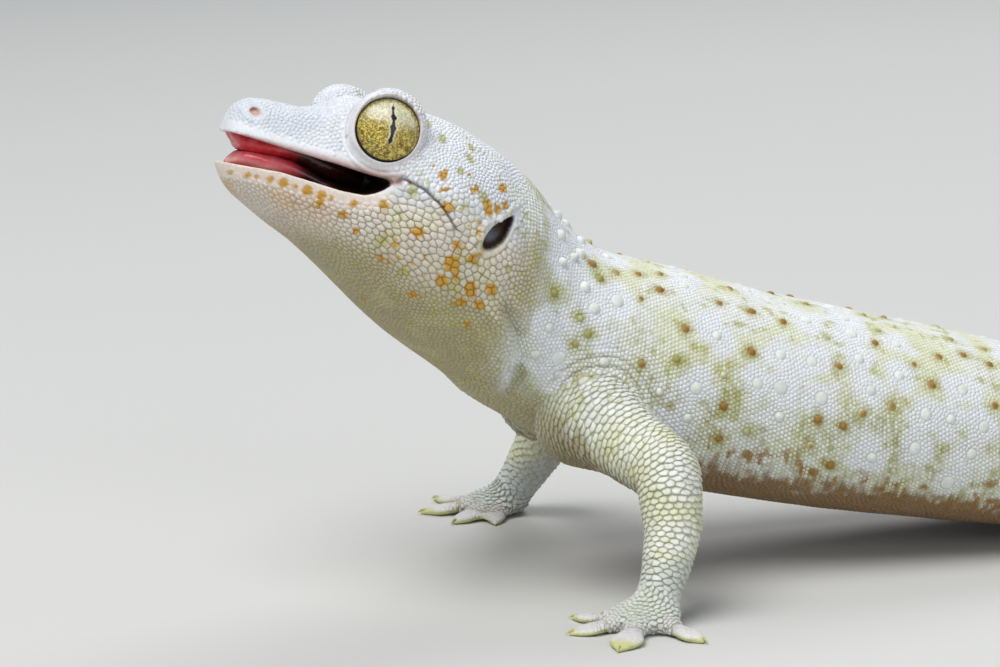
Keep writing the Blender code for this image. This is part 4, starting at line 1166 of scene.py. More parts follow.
    # limbs, and toes that end in pale pads with yellow-green edges
    low = hand | (limb & (points[:, 2] < 9.0))
    pale = layered(
        plain("limb", points),
        ("snow", 0.35 * ease(0.45, 0.8, soft)),
        ("yellow", 0.42 * ease(0.42, 0.72, noise(3.6, 6))),
        ("olive", 0.25 * ease(0.58, 0.8, fleck)),
        # painted shade: the undersides of the limbs take the belly's brown where they face down
        ("belly", 0.55 * ease(-0.2, -0.85, normals[:, 2])),
        ("hand", 0.75 * low * ease(12.0, 6.0, points[:, 2])))
    roots = [np.array(limbForm[name][1][:3]) for name in limbNames]
    fromBody = np.min([np.linalg.norm(points - root, axis=1) for root in roots], axis=0)
    toe = hand & (guides["station"][place] > 0.5)
    reach = np.clip(guides["along"][place] / 11.5, 0, 1)
    edge = ease(0.40, 0.60, reach) * ease(0.72, 0.25, normals[:, 2])
    edge = toe * np.maximum(edge, ease(0.80, 0.95, reach))
    colour = layered(
        colour,
        (pale, (limb | hand) * ease(6.0, 11.0, fromBody)),
        ("pad", 0.9 * toe * ease(0.20, 0.45, reach)),
        ("padEdge", 0.75 * edge))

    # the eye's rim with painted shade in the crease round it, painted shade along the crease behind the mouth
    # and under the edge of the upper lip
    for sign in (1, -1):
        across, over, ahead = inEye(points, sign)
        reach = np.hypot(across, over) - eyeForm["window"]
        front = (ahead > -0.5) * (part == 0)
        # painted shade in the crease round the eye
        ring = ease(0.20, 0.06, np.abs(reach - 1.28)) * ease(-1.0, 1.5, across - 0.5 * over)
        colour = layered(
            colour,
            ("snow", 0.6 * ease(1.9, 1.2, reach) * front),
            ("gum", 0.22 * ease(1.1, 0.5, reach) * front),
            ("creaseShade", 0.30 * ring * front))
    near = head & (behind > 18) & (behind < 34)
    if near.any():
        reach, way = creaseReach(behind[near], above[near])
        line = np.zeros(len(points))
        # painted shade along the crease behind the mouth
        line[near] = ease(0.24, 0.06, reach) * ease(-0.04, 0.02, way) * ease(1.02, 0.6, way)
        colour = mixed(colour, "creaseShade", 0.75 * line * (outward > 8))
    # painted shade under the rolled edge of the upper lip, wider towards the corner of the mouth
    rolledIn = above - lipLevel("upper", behind)
    edge = ease(0.40 + 0.065 * np.clip(behind, 0, 22), -0.05, rolledIn) * ease(-0.8, -0.2, rolledIn)
    colour = layered(
        colour,
        # painted shade in the creases over the shoulder
        ("creaseShade", 0.30 * shoulderCreases(points) * (part <= 3)),
        ("lipUnderShade", 0.85 * edge * onHead * (behind < 22) * ease(0.5, 3.0, behind)))

    # mouth, ear and nostrils, with painted shade deep in the mouth and in the ear's opening
    gums = ease(-0.6, -1.6, above) * ease(3.2, 5.2, outward - 0.2 * behind)
    # painted shade deeper in the mouth
    redness = layered(plain("crimson", points), ("gum", 0.8 * gums), ("deepMouthShade", ease(7.0, 12.5, behind)))
    # painted shade in the ear's opening, round its paler membrane
    membrane = ease(0.8, 0.3, ear) * ease(1.0, -1.5, above + 0.8)
    pit = ((ear < 1.0) & (outward > 10)) * ease(1.0, 0.85, ear)
    return layered(
        colour,
        (redness, inside),
        (mixed(plain("earPitShade", points), "earMembrane", membrane), pit),
        ("nostril", ease(0.9, 0.4, noseReach(behind, above)) * (outward > 2.5) * head))


# Tubercles: rows of large raised scales across the back and flanks.

tubercleForm = {
    "radius": {"white": 0.98, "ochre": 0.66, "olive": 0.58},
    "acrossPitch": 4.0,
    "skip": 0.10,
    "jitter": 0.40,
    "lowest": -0.36,  # how far down the flank they go, as the sine of the angle round the body
    "apart": 3.2,
    "napeRows": 4,
    "napeApart": 0.65,  # how much nearer together they stand in the rows of the nape
    "napePitch": 0.55,
    "common": 0.62,  # share of the kind that is usual in a row; the others are olive
    "tailEnd": 0.14,  # share of the tail's tip that bears none
    "clearOfLimbs": 5.5,
    # places on the left flank (y, z)
    "ochre": [(13.9, 41.9), (10.5, 43.3), (19.6, 39.6), (21.8, 34.8), (28.1, 37.2), (32.8, 35.9),
              (30.9, 31.4), (37.0, 34.4), (43.5, 28.7), (50.3, 30.8), (50.3, 23.2), (45.9, 22.6),
              (39.4, 22.1), (57.0, 25.3), (59.6, 28.4), (65.9, 22.2)],
    "white": [(12.8, 38.8), (23.7, 39.6), (26.2, 33.7), (31.1, 27.4), (38.4, 37.8), (40.9, 34.2),
              (39.5, 29.6), (40.1, 24.9), (52.7, 34.2), (53.7, 30.3), (52.3, 26.9), (55.3, 21.8),
              (53.5, 17.3), (61.6, 24.4), (63.9, 19.5), (61.9, 16.0)],
}


def placeTubercles():
    spots, kinds = [], []
    for kind in ("ochre", "white"):
        for y, z in tubercleForm[kind]:
            hit = skinTree.ray_cast(Vector((40.0, y, z)), Vector((-1.0, 0.0, 0.0)))[0]
            if hit is not None:
                spots.append(np.array(hit))
                kinds.append(kind)
    given = len(spots)
    onBody = np.flatnonzero(guides["part"] <= 1)
    points, part, along, around = [guides[key][onBody] for key in ("points", "part", "along", "around")]
    levels = np.unique(along)
    spine = np.flatnonzero((part == 0) & (np.abs(around - 0.25) < 0.006))
    spine = spine[np.argsort(points[spine, 1])]
    at = np.interp(markings["firstRow"], points[spine, 1], along[spine])
    row = 0
    while at < levels[-1] - tubercleForm["tailEnd"] * tailForm["length"]:
        ring = np.flatnonzero(along == levels[np.argmin(np.abs(levels - at))])
        ring = ring[np.argsort(around[ring])]
        nape = row < tubercleForm["napeRows"]
        girth = math.pi * 0.9 * (np.ptp(points[ring, 0]) + np.ptp(points[ring, 2])) / 2
        count = max(int(round(girth / tubercleForm["acrossPitch"])), 4)
        for j in range(count):
            turn = (j + 0.5 * (row % 2)) / count
            if math.sin(2 * math.pi * turn) < tubercleForm["lowest"] or draw.random() < tubercleForm["skip"]:
                continue
            off = np.abs((around[ring] - turn + 0.5) % 1 - 0.5)
            spot = points[ring][np.argmin(off)] + draw.normal(0, tubercleForm["jitter"], 3)
            nearest = np.linalg.norm(np.array(spots) - spot, axis=1).min()
            if nearest < tubercleForm["apart"] * (tubercleForm["napeApart"] if nape else 1.0):
                continue
            spots.append(spot)
            if row % markings["whiteEvery"] == 1:
                kinds.append("white")
            else:
                common = "white" if nape else "ochre"
                kinds.append(common if draw.random() < tubercleForm["common"] else "olive")
        row += 1
        at += markings["rowPitch"] * (tubercleForm["napePitch"] if nape else 1.0)
    spots, kinds = np.array(spots), np.array(kinds)
    # none on the limbs
    keep = (guides["part"][placeOf(spots)[0]] <= 1) | (np.arange(len(spots)) < given)
    for name in limbNames:
        reach = np.linalg.norm(spots - np.array(limbForm[name][2][:3]), axis=1)
        keep &= reach > tubercleForm["clearOfLimbs"]
    return spots[keep], kinds[keep]


def reachTo(spots):
    tree = treeOf(spots)
    return lambda points: np.array([tree.find(point)[2] for point in points])


# Scales.

scaleForm = {
    "neighbours": 18,
    "rounds": 9,
    "reach": 1.30,
    "trunkPitch": 0.64,
    "tailPitch": 0.98,
    "limbPitch": 1.36,
    "limbRowPitch": 0.80,
    "packing": 0.866,  # row pitch as a share of the pitch
    "headEnd": 13.2,  # station where the scattered scales of the head meet the rows of the trunk
    "rimRadius": 0.27,
    "jitter": 0.07,
    "farthest": 1.0,  # seeds of the rows farther off the skin are left out
    "perScale": 3.46,  # area of a scale, in squares of its radius
    "surplus": 1.22,
    "spacing": 1.06,
    "push": 0.32,
    "longestStep": 0.5,
    "crowding": (0.36, 0.56, 0.50),  # least share of the spacing before, between and after settling
    "emptyGap": 1.45,
    "extraGap": 0.9,
    "unevenness": 0.16,
    "chartSize": 0.0012,
}


def scaleRadius(points, place):
    # half the spacing of the scales at each point
    part, station, along, rise, (behind, above, _) = whereIs(points, place)
    trunk = 0.305 + 0.03 * ease(0.6, -0.2, rise) + 0.17 * ease(-0.50, -0.85, rise)
    trunk = trunk + 0.05 * ease(16.5, 18.0, station) * ease(20.5, 19.0, station) * ease(0.5, -0.3, rise)
    cheeks = ease(15, 22, behind) * ease(4.5, -0.5, above) * ease(-17.5, -13.0, above + 0.1 * behind)
    cheeks = cheeks * ease(42, 36, behind) * ease(2.6, -0.6, belowThroatLine(behind, above))
    jawSide = ease(3.0, 8.0, behind) * bump(above + 5.2, 3.0) * (1 - cheeks)
    face = 0.30 + 0.02 * ease(8, 20, behind) + 0.19 * cheeks + 0.07 * jawSide
    eyes = np.minimum(*[np.hypot(*inEye(points, sign)[:2]) for sign in (1, -1)])
    face = face - 0.04 * ease(8.0, 6.0, eyes) * (above > 2)
    face = face + (0.33 - face) * lipBand(behind, above)
    headShare = ease(14.5, 12.0, station)
    radius = trunk * (1 - headShare) + face * headShare
    tail = 0.50 - 0.15 * ease(60, 150, along - guides["along"][guides["part"] == 0].max())
    radius = np.where(part == 1, tail, radius)
    radius = np.where((part >= 2) & (part <= 5), 0.49 - 0.05 * ease(0.0, -0.6, rise), radius)
    return np.where(part >= 6, np.where(station > 0.5, 0.34 - 0.05 * ease(2, 5, along), 0.42), radius)


def scaleStretch(points, place, kinds):
    # how much longer than wide the scales are, along their lie
    part, station, _, _, (behind, above, _) = whereIs(points, place)
    head = (part == 0) & (station < 14)
    jaw = ease(4, 9, behind) * ease(34, 24, behind) * ease(1.0, -1.0, above)
    jaw = jaw * ease(-16, -9, above + 0.1 * behind)
    stretch = np.where((part >= 2) & (part <= 5), 0.38, 1.0 + 1.20 * jaw * head)
    stretch = np.where(part >= 6, np.where(station > 0.5, 0.34, 0.50), stretch)
    return np.where(kinds == "", stretch, 1.0)


def scaleRelief(points, place):
    # how much the scales stand out: least on the snout and the crown
    part, station, along, rise, (behind, above, _) = whereIs(points, place)
    snout = 0.22 + 0.40 * ease(2.0, 10.0, behind)
    cheek = (1 - 0.5 * ease(3.5, 7.0, above)) * (1 - 0.6 * ease(-1.5, 1.5, above))
    head = snout + (0.85 - snout) * ease(9.0, 20.0, behind) * cheek
    trunk = 0.50 - 0.35 * ease(0.0, 0.6, rise) + 0.18 * ease(19, 15, station) * ease(-2, -12, above)
    toe = np.where((part >= 6) & (station > 0.5), 1.0 - 0.55 * ease(4.5, 7.5, along), 0.9)
    return np.where((part == 0) & (station < 14), head, np.where(part <= 1, trunk, toe))


def onSkin(points):
    # the nearest place on the skin, with the smooth normal there
    hits = [skinTree.find_nearest(Vector(point)) for point in points]
    spots = np.array([hit[0] for hit in hits])
    index = np.array([hit[2] for hit in hits])
    corners = skinPoints[skinTriangles[index]] - spots[:, None]
    # the weights of the triangle's corners at the spot
    weights = [np.linalg.norm(np.cross(corners[:, k - 2], corners[:, k - 1]), axis=1) for k in range(3)]
    weights = np.stack(weights, -1) + 1e-9
    weights = weights / weights.sum(axis=1, keepdims=True)
    return spots, unit((skinNormals[skinTriangles[index]] * weights[..., None]).sum(axis=1)), index


def neighboursOf(points, count):
    tree = treeOf(points)
    return np.array([[hit[1] for hit in tree.find_n(point, count + 1)[1:]] for point in points])


def latticeSeeds():
    # rows of scales run round the trunk, the tail and the limbs
    seeds = []
    depth = -bodyForm["skinDepth"]
    stations = np.linspace(scaleForm["headEnd"], bodyForm["ventStation"], 600)
    along = wayAlong(bodyPoints(stations, turns(40, 0), depth).mean(axis=1))
    pitch, packing = scaleForm["trunkPitch"], scaleForm["packing"]
    for i, at in enumerate(np.arange(0.4, along[-1], pitch * packing)):
        fine = bodyPoints([np.interp(at, along, stations)], turns(400, 0), depth)[0]
        seeds.append(roundRing(fine, pitch, i))
    pitch = scaleForm["tailPitch"]
    for i, at in enumerate(np.arange(0.5, tailForm["length"] - 0.5, pitch * packing)):
        fine = tailPoints([at], turns(200, 0), depth)[0]
        seeds.append(roundRing(fine, pitch - 0.25 * at / tailForm["length"], i))
    for name in limbNames:
        length = limbRings(name, [0.5], 8)[2]
        for i, at in enumerate(np.arange(0.12 * length, 0.91 * length, scaleForm["limbRowPitch"])):
            fine = limbRings(name, [at / length], 160, depth)[0][0]
            seeds.append(roundRing(fine, scaleForm["limbPitch"], i))
    return np.concatenate(seeds)


def roundRing(ring, pitch, row):
    # evenly spaced points round a closed ring, shifted by half a step in every other row
    ring = np.concatenate([ring, ring[:1]])
    walked = wayAlong(ring)
    count = max(int(round(walked[-1] / pitch / 4)) * 4, 4)
    at = (np.arange(count) + 0.5 * (row % 2)) / count * walked[-1]
    return np.stack([np.interp(at, walked, ring[:, i]) for i in range(3)], -1)


def scatterSeeds(radius, wanted):
    # random points on the skin's faces, as many as the size of the scales there asks for
    corners = skinPoints[skinTriangles]
    first, second = corners[:, 1] - corners[:, 0], corners[:, 2] - corners[:, 0]
    area = np.linalg.norm(np.cross(first, second), axis=1) / 2
    share = area / (scaleForm["perScale"] * radius[skinTriangles].mean(axis=1) ** 2)
    share = np.where(wanted[skinTriangles].all(axis=1), share, 0)
    total = int(share.sum() * scaleForm["surplus"])
    chosen = draw.choice(len(corners), total, p=share / share.sum())
    u, v = draw.random(total), draw.random(total)
    flip = u + v > 1
    u, v = [np.where(flip, 1 - each, each)[:, None] for each in (u, v)]
    return corners[chosen, 0] + first[chosen] * u + second[chosen] * v


def settle(points, radius, fixed, lie, stretch):
    # pushes the scales apart until they are evenly packed
    points, normals, faces = onSkin(points)
    near = None
    for turn in range(scaleForm["rounds"]):
        if turn % 3 == 0:
            near = neighboursOf(points, 10)
        gap = points[:, None] - points[near]
        # distances are taken as if the skin were squeezed along the lie of long scales
        lengthwise = dots(gap, lie[:, None])
        squeezed = gap - lie[:, None] * (lengthwise * (1 - stretch[:, None] ** -0.5))[..., None]
        squeezed = squeezed * (stretch[:, None] ** 0.25)[..., None]
        distance = np.linalg.norm(squeezed, axis=2) + 1e-6
        overlap = np.clip(scaleForm["spacing"] * (radius[:, None] + radius[near]) - distance, 0, None)
        length = np.linalg.norm(gap, axis=2) + 1e-6
        move = (gap / length[..., None] * (overlap * scaleForm["push"])[..., None]).sum(axis=1)
        move = move - normals * dots(move, normals)[:, None]
        step = np.linalg.norm(move, axis=1, keepdims=True)
        move = move * np.minimum(1, scaleForm["longestStep"] * radius[:, None] / np.maximum(step, 1e-6))
        move[fixed] = 0
        points, normals, faces = onSkin(points + move)
    return points, normals, faces


def cellsOf(points, normals, lie, radius, stretch):
    # each scale is the patch of skin nearer to its middle than to any other's, weighed by size
    count = scaleForm["neighbours"]
    near = neighboursOf(points, count)
    along = unit(lie - normals * dots(lie, normals)[:, None])
    across = np.cross(normals, along)
    ringAngle = 2 * math.pi * np.arange(8) / 8
    ring = np.stack([np.cos(ringAngle), np.sin(ringAngle)], -1)
    first, second = np.triu_indices(count + 8, 1)
    corners = np.zeros((len(points), 16, 2))
    counts = np.zeros(len(points), int)
    for start in range(0, len(points), 3000):
        part = slice(start, min(start + 3000, len(points)))
        offset = points[near[part]] - points[part, None]
        squeeze = stretch[part, None] ** 0.25
        lengthwise, crosswise = dots(offset, along[part, None]), dots(offset, across[part, None])
        flat = np.stack([lengthwise / squeeze, crosswise * squeeze], -1)
        length = np.maximum(np.linalg.norm(flat, axis=2), 1e-4)
        away = unit(flat)
        limit = (length**2 + radius[part, None] ** 2 - radius[near[part]] ** 2) / (2 * length)
        away = np.concatenate([away, np.broadcast_to(ring, (len(away), 8, 2))], axis=1)
        bound = radius[part, None] * scaleForm["reach"] * np.ones(8)
        limit = np.concatenate([np.maximum(limit, 0.2 * radius[part, None]), bound], axis=1)
        ax, ay = away[:, first, 0], away[:, first, 1]
        bx, by = away[:, second, 0], away[:, second, 1]
        cross = ax * by - ay * bx
        cross = np.where(np.abs(cross) < 1e-4, np.nan, cross)
        x = (limit[:, first] * by - limit[:, second] * ay) / cross
        y = (ax * limit[:, second] - bx * limit[:, first]) / cross
        reach = x[:, :, None] * away[:, None, :, 0] + y[:, :, None] * away[:, None, :, 1]
        with np.errstate(invalid="ignore"):
            good = (reach <= limit[:, None] + 1e-5).all(axis=2)
        angle = np.where(good, np.arctan2(np.nan_to_num(y), np.nan_to_num(x)), 99.0)
        order = np.argsort(angle, axis=1)[:, :20]
        x = np.take_along_axis(np.nan_to_num(x), order, 1)
        y = np.take_along_axis(np.nan_to_num(y), order, 1)
        angle = np.take_along_axis(angle, order, 1)
        # corners that nearly meet become one
        number = (angle < 90).sum(axis=1)
        following = (np.arange(20)[None] + 1) % np.maximum(number, 1)[:, None]
        step = np.hypot(np.take_along_axis(x, following, 1) - x, np.take_along_axis(y, following, 1) - y)
        close = (step < 0.22 * radius[part, None]) & (angle < 90)
        angle = np.where(close, 99.0, angle)
        order = np.argsort(angle, axis=1)[:, :16]
        corners[part, :, 0] = np.take_along_axis(x, order, 1) * squeeze
        corners[part, :, 1] = np.take_along_axis(y, order, 1) / squeeze
        counts[part] = (np.take_along_axis(angle, order, 1) < 90).sum(axis=1)
    return corners, counts, along, across


grooveShares = {
    # how much of the scale's red, green and blue is left between the scales
    "snow": (0.86, 0.88, 0.91),
    "crown": (0.90, 0.91, 0.93),
    "cheek": (0.58, 0.51, 0.34),
    "throat": (0.80, 0.77, 0.64),
    "cool": (0.80, 0.81, 0.78),
    "olive": (0.70, 0.70, 0.44),
    "belly": (0.70, 0.62, 0.50),
    "limb": (0.64, 0.64, 0.55),
    "smooth": (0.96, 0.95, 0.94),
}


def paintGrooves(points, place):
    # what is left of the colour between the scales
    part, station, _, rise, (behind, above, _) = whereIs(points, place)
    soft = cloud(points, 4.0, 21)

    def towards(share, *layers):
        for name, amount in layers:
            amount = np.clip(amount, 0, 1)[:, None]
            share = share * (1 - amount) + np.array(grooveShares[name]) * amount
        return share

    empty, full = np.zeros((len(points), 3)), np.ones(len(points))
    share = towards(
        empty,
        ("cool", full),
        ("olive", ease(0.45, 0.70, soft) * ease(0.9, 0.3, rise)),
        ("crown", 0.9 * ease(0.0, 0.45, rise)),
        ("belly", ease(-0.40, -0.75, rise) * (part <= 1)),
        ("throat", (part == 0) * ease(19.0, 16.0, station) * ease(-0.2, -0.6, rise)))
    warm = np.maximum(ease(12, 20, behind) * ease(1.0, -4.0, above), 0.8 * ease(-3.0, -5.5, above))
    face = towards(
        empty,
        ("snow", full),
        ("cheek", warm * (0.55 + 0.45 * ease(0.35, 0.6, soft))),
        ("crown", ease(3.5, 7.0, above)),
        ("throat", ease(-0.35, -0.7, rise) + ease(-9.0, -14.0, above)),
        ("smooth", lipBand(behind, above)))
    head = ((part == 0) * ease(14.2, 12.6, station))[:, None]
    share = share * (1 - head) + face * head
    return towards(share, ("limb", (part >= 2) * 1.0), ("olive", (part >= 2) * 0.6 * ease(0.5, 0.7, soft)))


scaleKinds = {
    # rings from root to top (share of the outline, height in mm, paleness), height of the middle,
    # tilt and reach of the far edge, paleness of the root away from the far edge
    "granule": ([(0.995, -0.12, 0.0), (0.76, 0.13, 0.85)], 0.19, 0.03, 0.0, 0.0),
    "grain": ([(0.995, -0.12, 0.0), (0.74, 0.11, 0.85)], 0.16, 0.02, 0.0, 0.0),
    "plate": ([(0.995, -0.12, 0.0), (0.88, 0.10, 0.80), (0.60, 0.19, 1.0)], 0.22, 0.03, 0.0, 0.0),
    "lip": ([(0.995, -0.05, 0.2), (0.80, 0.04, 1.0)], 0.06, 0.0, 0.0, 0.0),
    "shingle": ([(0.995, -0.12, 0.0), (0.945, 0.06, 0.82), (0.58, 0.13, 1.0)], 0.14, 0.17, 0.18, 0.95),
    "toe": ([(0.995, -0.10, 0.3), (0.80, 0.08, 0.9)], 0.11, 0.08, 0.06, 0.7),
    "belly": ([(0.995, -0.11, 0.0), (0.86, 0.07, 0.85)], 0.11, 0.08, 0.10, 0.6),
    "tubercle": ([(0.995, -0.14, 0.85), (0.86, 0.04, 0.95), (0.66, 0.17, 1.0), (0.38, 0.29, 1.0)],
                 0.34, 0.05, 0.0, 0.0),
}


def seedScales():
    place = placeOf(skinPoints)[0]
    part, station, along, _, _ = whereIs(skinPoints, place)
    wantedRadius = scaleRadius(skinPoints, place)
    loose = ((part == 0) & (station < scaleForm["headEnd"])) | (part >= 6)
    for i, name in enumerate(limbNames):
        loose |= (part == 2 + i) & (along > 0.90 * limbRings(name, [0.5], 8)[2])
    bare = bareShare > 0.5
    scattered = scatterSeeds(wantedRadius, loose & ~bare)
    rows = latticeSeeds()
    rows = rows + draw.normal(0, scaleForm["jitter"], rows.shape)
    gap = [skinTree.find_nearest(Vector(point))[3] for point in rows]
    rows = rows[np.array(gap) < scaleForm["farthest"]]
    rims = rimSeeds()
    given = len(tubercles) + len(rims)
    points = onSkin(np.concatenate([tubercles, rims, scattered, rows]))[0]
    free = points[given:]
    rimSizes = np.full(len(rims), scaleForm["rimRadius"])
    radius = np.concatenate([tubercleSizes, rimSizes, scaleRadius(free, placeOf(free)[0])])
    # tubercles and rims keep their place; the scales without a name are pushed about
    kinds = np.array(["tubercle"] * len(tubercles) + ["rim"] * len(rims) + [""] * len(free))

    def packed():
        place = placeOf(points)[0]
        stretch = scaleStretch(points, place, kinds)
        return settle(points, radius, kinds != "", unit(guides["lie"][place]), stretch)

    keep = thinned(points, radius, scaleForm["crowding"][0])
    points, radius, kinds = points[keep], radius[keep], kinds[keep]
    points = packed()[0]
    keep = thinned(points, radius, scaleForm["crowding"][1])
    points, radius, kinds = points[keep], radius[keep], kinds[keep]
    # fills the places that are still empty
    gap = reachTo(points)(skinPoints)
    empty = np.flatnonzero((gap > scaleForm["emptyGap"] * wantedRadius) & ~bare)
    extra = skinPoints[empty]
    if len(extra) > 8:
        extra = extra[thinned(extra, wantedRadius[empty], scaleForm["extraGap"])]
    print("scales placed", len(points), "and", len(extra), "in gaps")
    points = np.concatenate([points, extra])
    radius = np.concatenate([radius, scaleRadius(extra, placeOf(extra)[0])])
    kinds = np.concatenate([kinds, np.full(len(extra), "", kinds.dtype)])
    points, normals, hit = packed()
    onBare = bareShare[skinTriangles[hit]].max(axis=1) >= 0.5
    keep = thinned(points, radius, scaleForm["crowding"][2]) & ~(onBare & (kinds == ""))
    return [each[keep] for each in (points, normals, radius, kinds, hit)]


def thinned(points, radius, share):
    # leaves out points that crowd one that stands before them in the list
    near = neighboursOf(points, 6)
    distance = np.linalg.norm(points[near] - points[:, None], axis=2)
    crowded = distance < share * (radius[:, None] + radius[near])
    keep = np.ones(len(points), bool)
    for i in np.flatnonzero(crowded.any(axis=1)):
        if keep[i]:
            others = near[i][crowded[i]]
            keep[others[others > i]] = False
    return keep


def rimSeeds():
    # small scales round the upper half of each eye
    angle = np.radians(np.arange(58.0, 215.0, 6.4))[:, None]
    reach = eyeForm["window"] + 0.82
    seeds = []
    for sign in (1, -1):
        centre, axes = eyeFrame(sign)
        ring = axes[0] * (np.cos(angle) * reach) + axes[1] * (np.sin(angle) * reach)
        seeds.append(centre + ring + axes[2] * 1.4)
    return np.concatenate(seeds)


coatPieces = [
    # name, parts of the guides, from and to this station or share
    ("coatFace", (0,), 0.0, 7.6),
    ("coatCheeks", (0,), 7.6, 10.4),
    ("coatTemples", (0,), 10.4, 13.2),
    ("coatNeck", (0,), 13.2, 17.2),
    ("coatShoulders", (0,), 17.2, 19.6),
    ("coatRibs", (0,), 19.6, 21.6),
    ("coatBack", (0,), 21.6, 23.6),
    ("coatFlanks", (0,), 23.6, 25.6),
    ("coatRump", (0,), 25.6, 40.0),
    ("coatTail", (1,), 0.0, 99.0),
    ("coatArmLeft", (2, 6), 0.0, 99.0),
    ("coatArmRight", (3, 7), 0.0, 99.0),
    ("coatLegLeft", (4, 8), 0.0, 99.0),
    ("coatLegRight", (5, 9), 0.0, 99.0),
]


def makeCoat():
    points, normals, radius, kinds, hit = seedScales()
    place = placeOf(points)[0]
    part, station, _, rise, (behind, above, _) = whereIs(points, place)
    stretch = scaleStretch(points, place, kinds)
    corners, counts, along, across = cellsOf(points, normals, guides["lie"][place], radius, stretch)
    kind = np.where(kinds == "", "grain", kinds).astype("<U9")
    for name, where in (
            ("granule", radius > 0.345),
            ("plate", (radius > 0.42) & (part == 0) & (station < 14)),
            ("belly", (part == 0) & (station >= 14) & (rise < -0.55)),
            ("shingle", part >= 1),
            ("toe", (part >= 6) & (station > 0.5)),
            ("lip", (part == 0) & (lipBand(behind, above) > 0.5) & (station < 9))):
        kind[(kinds == "") & where] = name
    kind[kinds == "rim"] = "granule"
    raised = np.where(radius > 0.8, 0.55, 0.90)
    raised = raised + 1.3 * ease(17.5, 15.5, station) * ease(0.1, 0.5, rise) * (part == 0)
    relief = np.where(kinds == "tubercle", raised, scaleRelief(points, place))
    relief[kinds == "rim"] = 0.9
    print("scales:", len(points), "corners", np.bincount(counts))
    scales = {
        "points": points, "normals": normals, "along": along, "across": across, "radius": radius,
        "kind": kind, "place": place, "relief": relief, "corners": corners, "counts": counts,
        "ear": earShare[skinTriangles[hit]].min(axis=1),
    }
    made = []
    for name, parts, start, end in coatPieces:
        chosen = np.isin(part, parts) & (station >= start) & (station < end) & (counts >= 3)
        made.append(coatPiece(name, {key: value[chosen] for key, value in scales.items()}))
    return made


def scaleLayers(own, scaleKind, grow):
    # the rings of each scale from its root to its middle: (along, across, height, paleness)
    rings, top, tilt, reach, nearRoot = scaleKinds[scaleKind]
    size = own["radius"][:, None]
    for ring, (share, height, paleness) in enumerate(rings):
        x, y = own["corners"][..., 0] * share, own["corners"][..., 1] * share
        shade = np.full(x.shape, paleness)
        if ring:
            x = x + reach * np.maximum(x, 0) / share
            yield x, y, height * grow + tilt * x / size, shade
        else:
            yield x, y, height + np.zeros_like(x), np.maximum(shade, nearRoot * ease(0.35, -0.15, x / size))
    middle = np.zeros((len(size), 1))
    yield middle, middle, top * grow, middle + 1.0


def coatPiece(name, scales):
    verts, colours, charts, groups, total = [], [], [], {3: [], 4: []}, 0
    along = guides["along"][scales["place"]]
    lowest, span = along.min(), max(np.ptp(along), 1.0)
    handLow, handSpan = scales["points"].min(axis=0), np.ptp(scales["points"], axis=0)
    for scaleKind, n in itertools.product(scaleKinds, range(3, 17)):
        chosen = (scales["kind"] == scaleKind) & (scales["counts"] == n)
        if not chosen.any():
            continue
        own = {key: value[chosen] for key, value in scales.items()}
        own["corners"] = own["corners"][:, :n]
        points, normals, place = own["points"], own["normals"], own["place"]
        grow = own["relief"] * (1.0 + scaleForm["unevenness"] * (cloud(points * 3.1, 1.0, 31) - 0.5))
        layers = zip(*scaleLayers(own, scaleKind, grow[:, None]))
        x, y, rise, pale = [np.concatenate(layer, axis=1) for layer in layers]
        block = points[:, None] + own["along"][:, None] * x[..., None] + own["across"][:, None] * y[..., None]
        block = block + normals[:, None] * rise[..., None]
        block[..., 2] = np.maximum(block[..., 2], 0.0)
        count, per = x.shape
        owner = np.repeat(np.arange(count), per)
        block = block.reshape(-1, 3)
        colour = paint(block, normals[owner], place[owner], own["ear"][owner], np.zeros(len(owner), bool))
        groove = colour * paintGrooves(block, place[owner])
        # each scale is a little lighter or darker than the next, and darker down its sides
        lightness = 1.0 + scaleForm["unevenness"] * (cloud(points * 2.3, 1.0, 33) - 0.5)
        pale = pale.reshape(-1, 1)
        verts.append(block)
        colours.append(np.clip((colour * pale + groove * (1 - pale)) * lightness[owner, None], 0, 1))
        # its own small patch at its root's place on the unrolled skin
        u = 0.01 + 0.97 * guides["around"][place]
        v = 0.01 + 0.97 * (guides["along"][place] - lowest) / span
        onHand = guides["part"][place] >= 6
        shift = (points - handLow) / handSpan
        u = np.where(onHand, 0.02 + 0.45 * shift[:, 0] + 0.5 * (normals[:, 2] < 0), u)
        v = np.where(onHand, 0.02 + 0.95 * shift[:, 1], v)
        chart = np.stack([x, y], -1) / own["radius"][:, None, None]
        chart = np.stack([u, v], -1)[:, None] + scaleForm["chartSize"] * np.clip(chart, -1.2, 1.2)
        charts.append(chart.reshape(-1, 2))
        base = total + np.arange(count)[:, None, None] * per
        j = np.arange(n)
        k = (j + 1) % n
        last = per - 1 - n
        for low in range(0, last, n):
            quad = np.stack([low + j, low + k, low + n + k, low + n + j], -1)
            groups[4].append((base + quad).reshape(-1, 4))
        groups[3].append((base + np.stack([last + j, last + k, np.full(n, per - 1)], -1)).reshape(-1, 3))
        total += len(block)
    made = newMesh(name, np.concatenate(verts), [np.concatenate(groups[size]) for size in (4, 3)])
    setColour(made, "marking", np.concatenate(colours))
    setChart(made, "OFBake", np.concatenate(charts))
    triangles = sum(len(face) * (size - 2) for size, faces in groups.items() for face in faces)
    print(name, len(scales["place"]), "scales,", triangles, "triangles")
    return made


def setColour(made, name, colours):
    layer = made.data.color_attributes.new(name, "FLOAT_COLOR", "POINT")
    full = np.concatenate([colours, np.ones((len(colours), 1))], axis=1)
    layer.data.foreach_set("color", full.astype(np.float32).ravel())


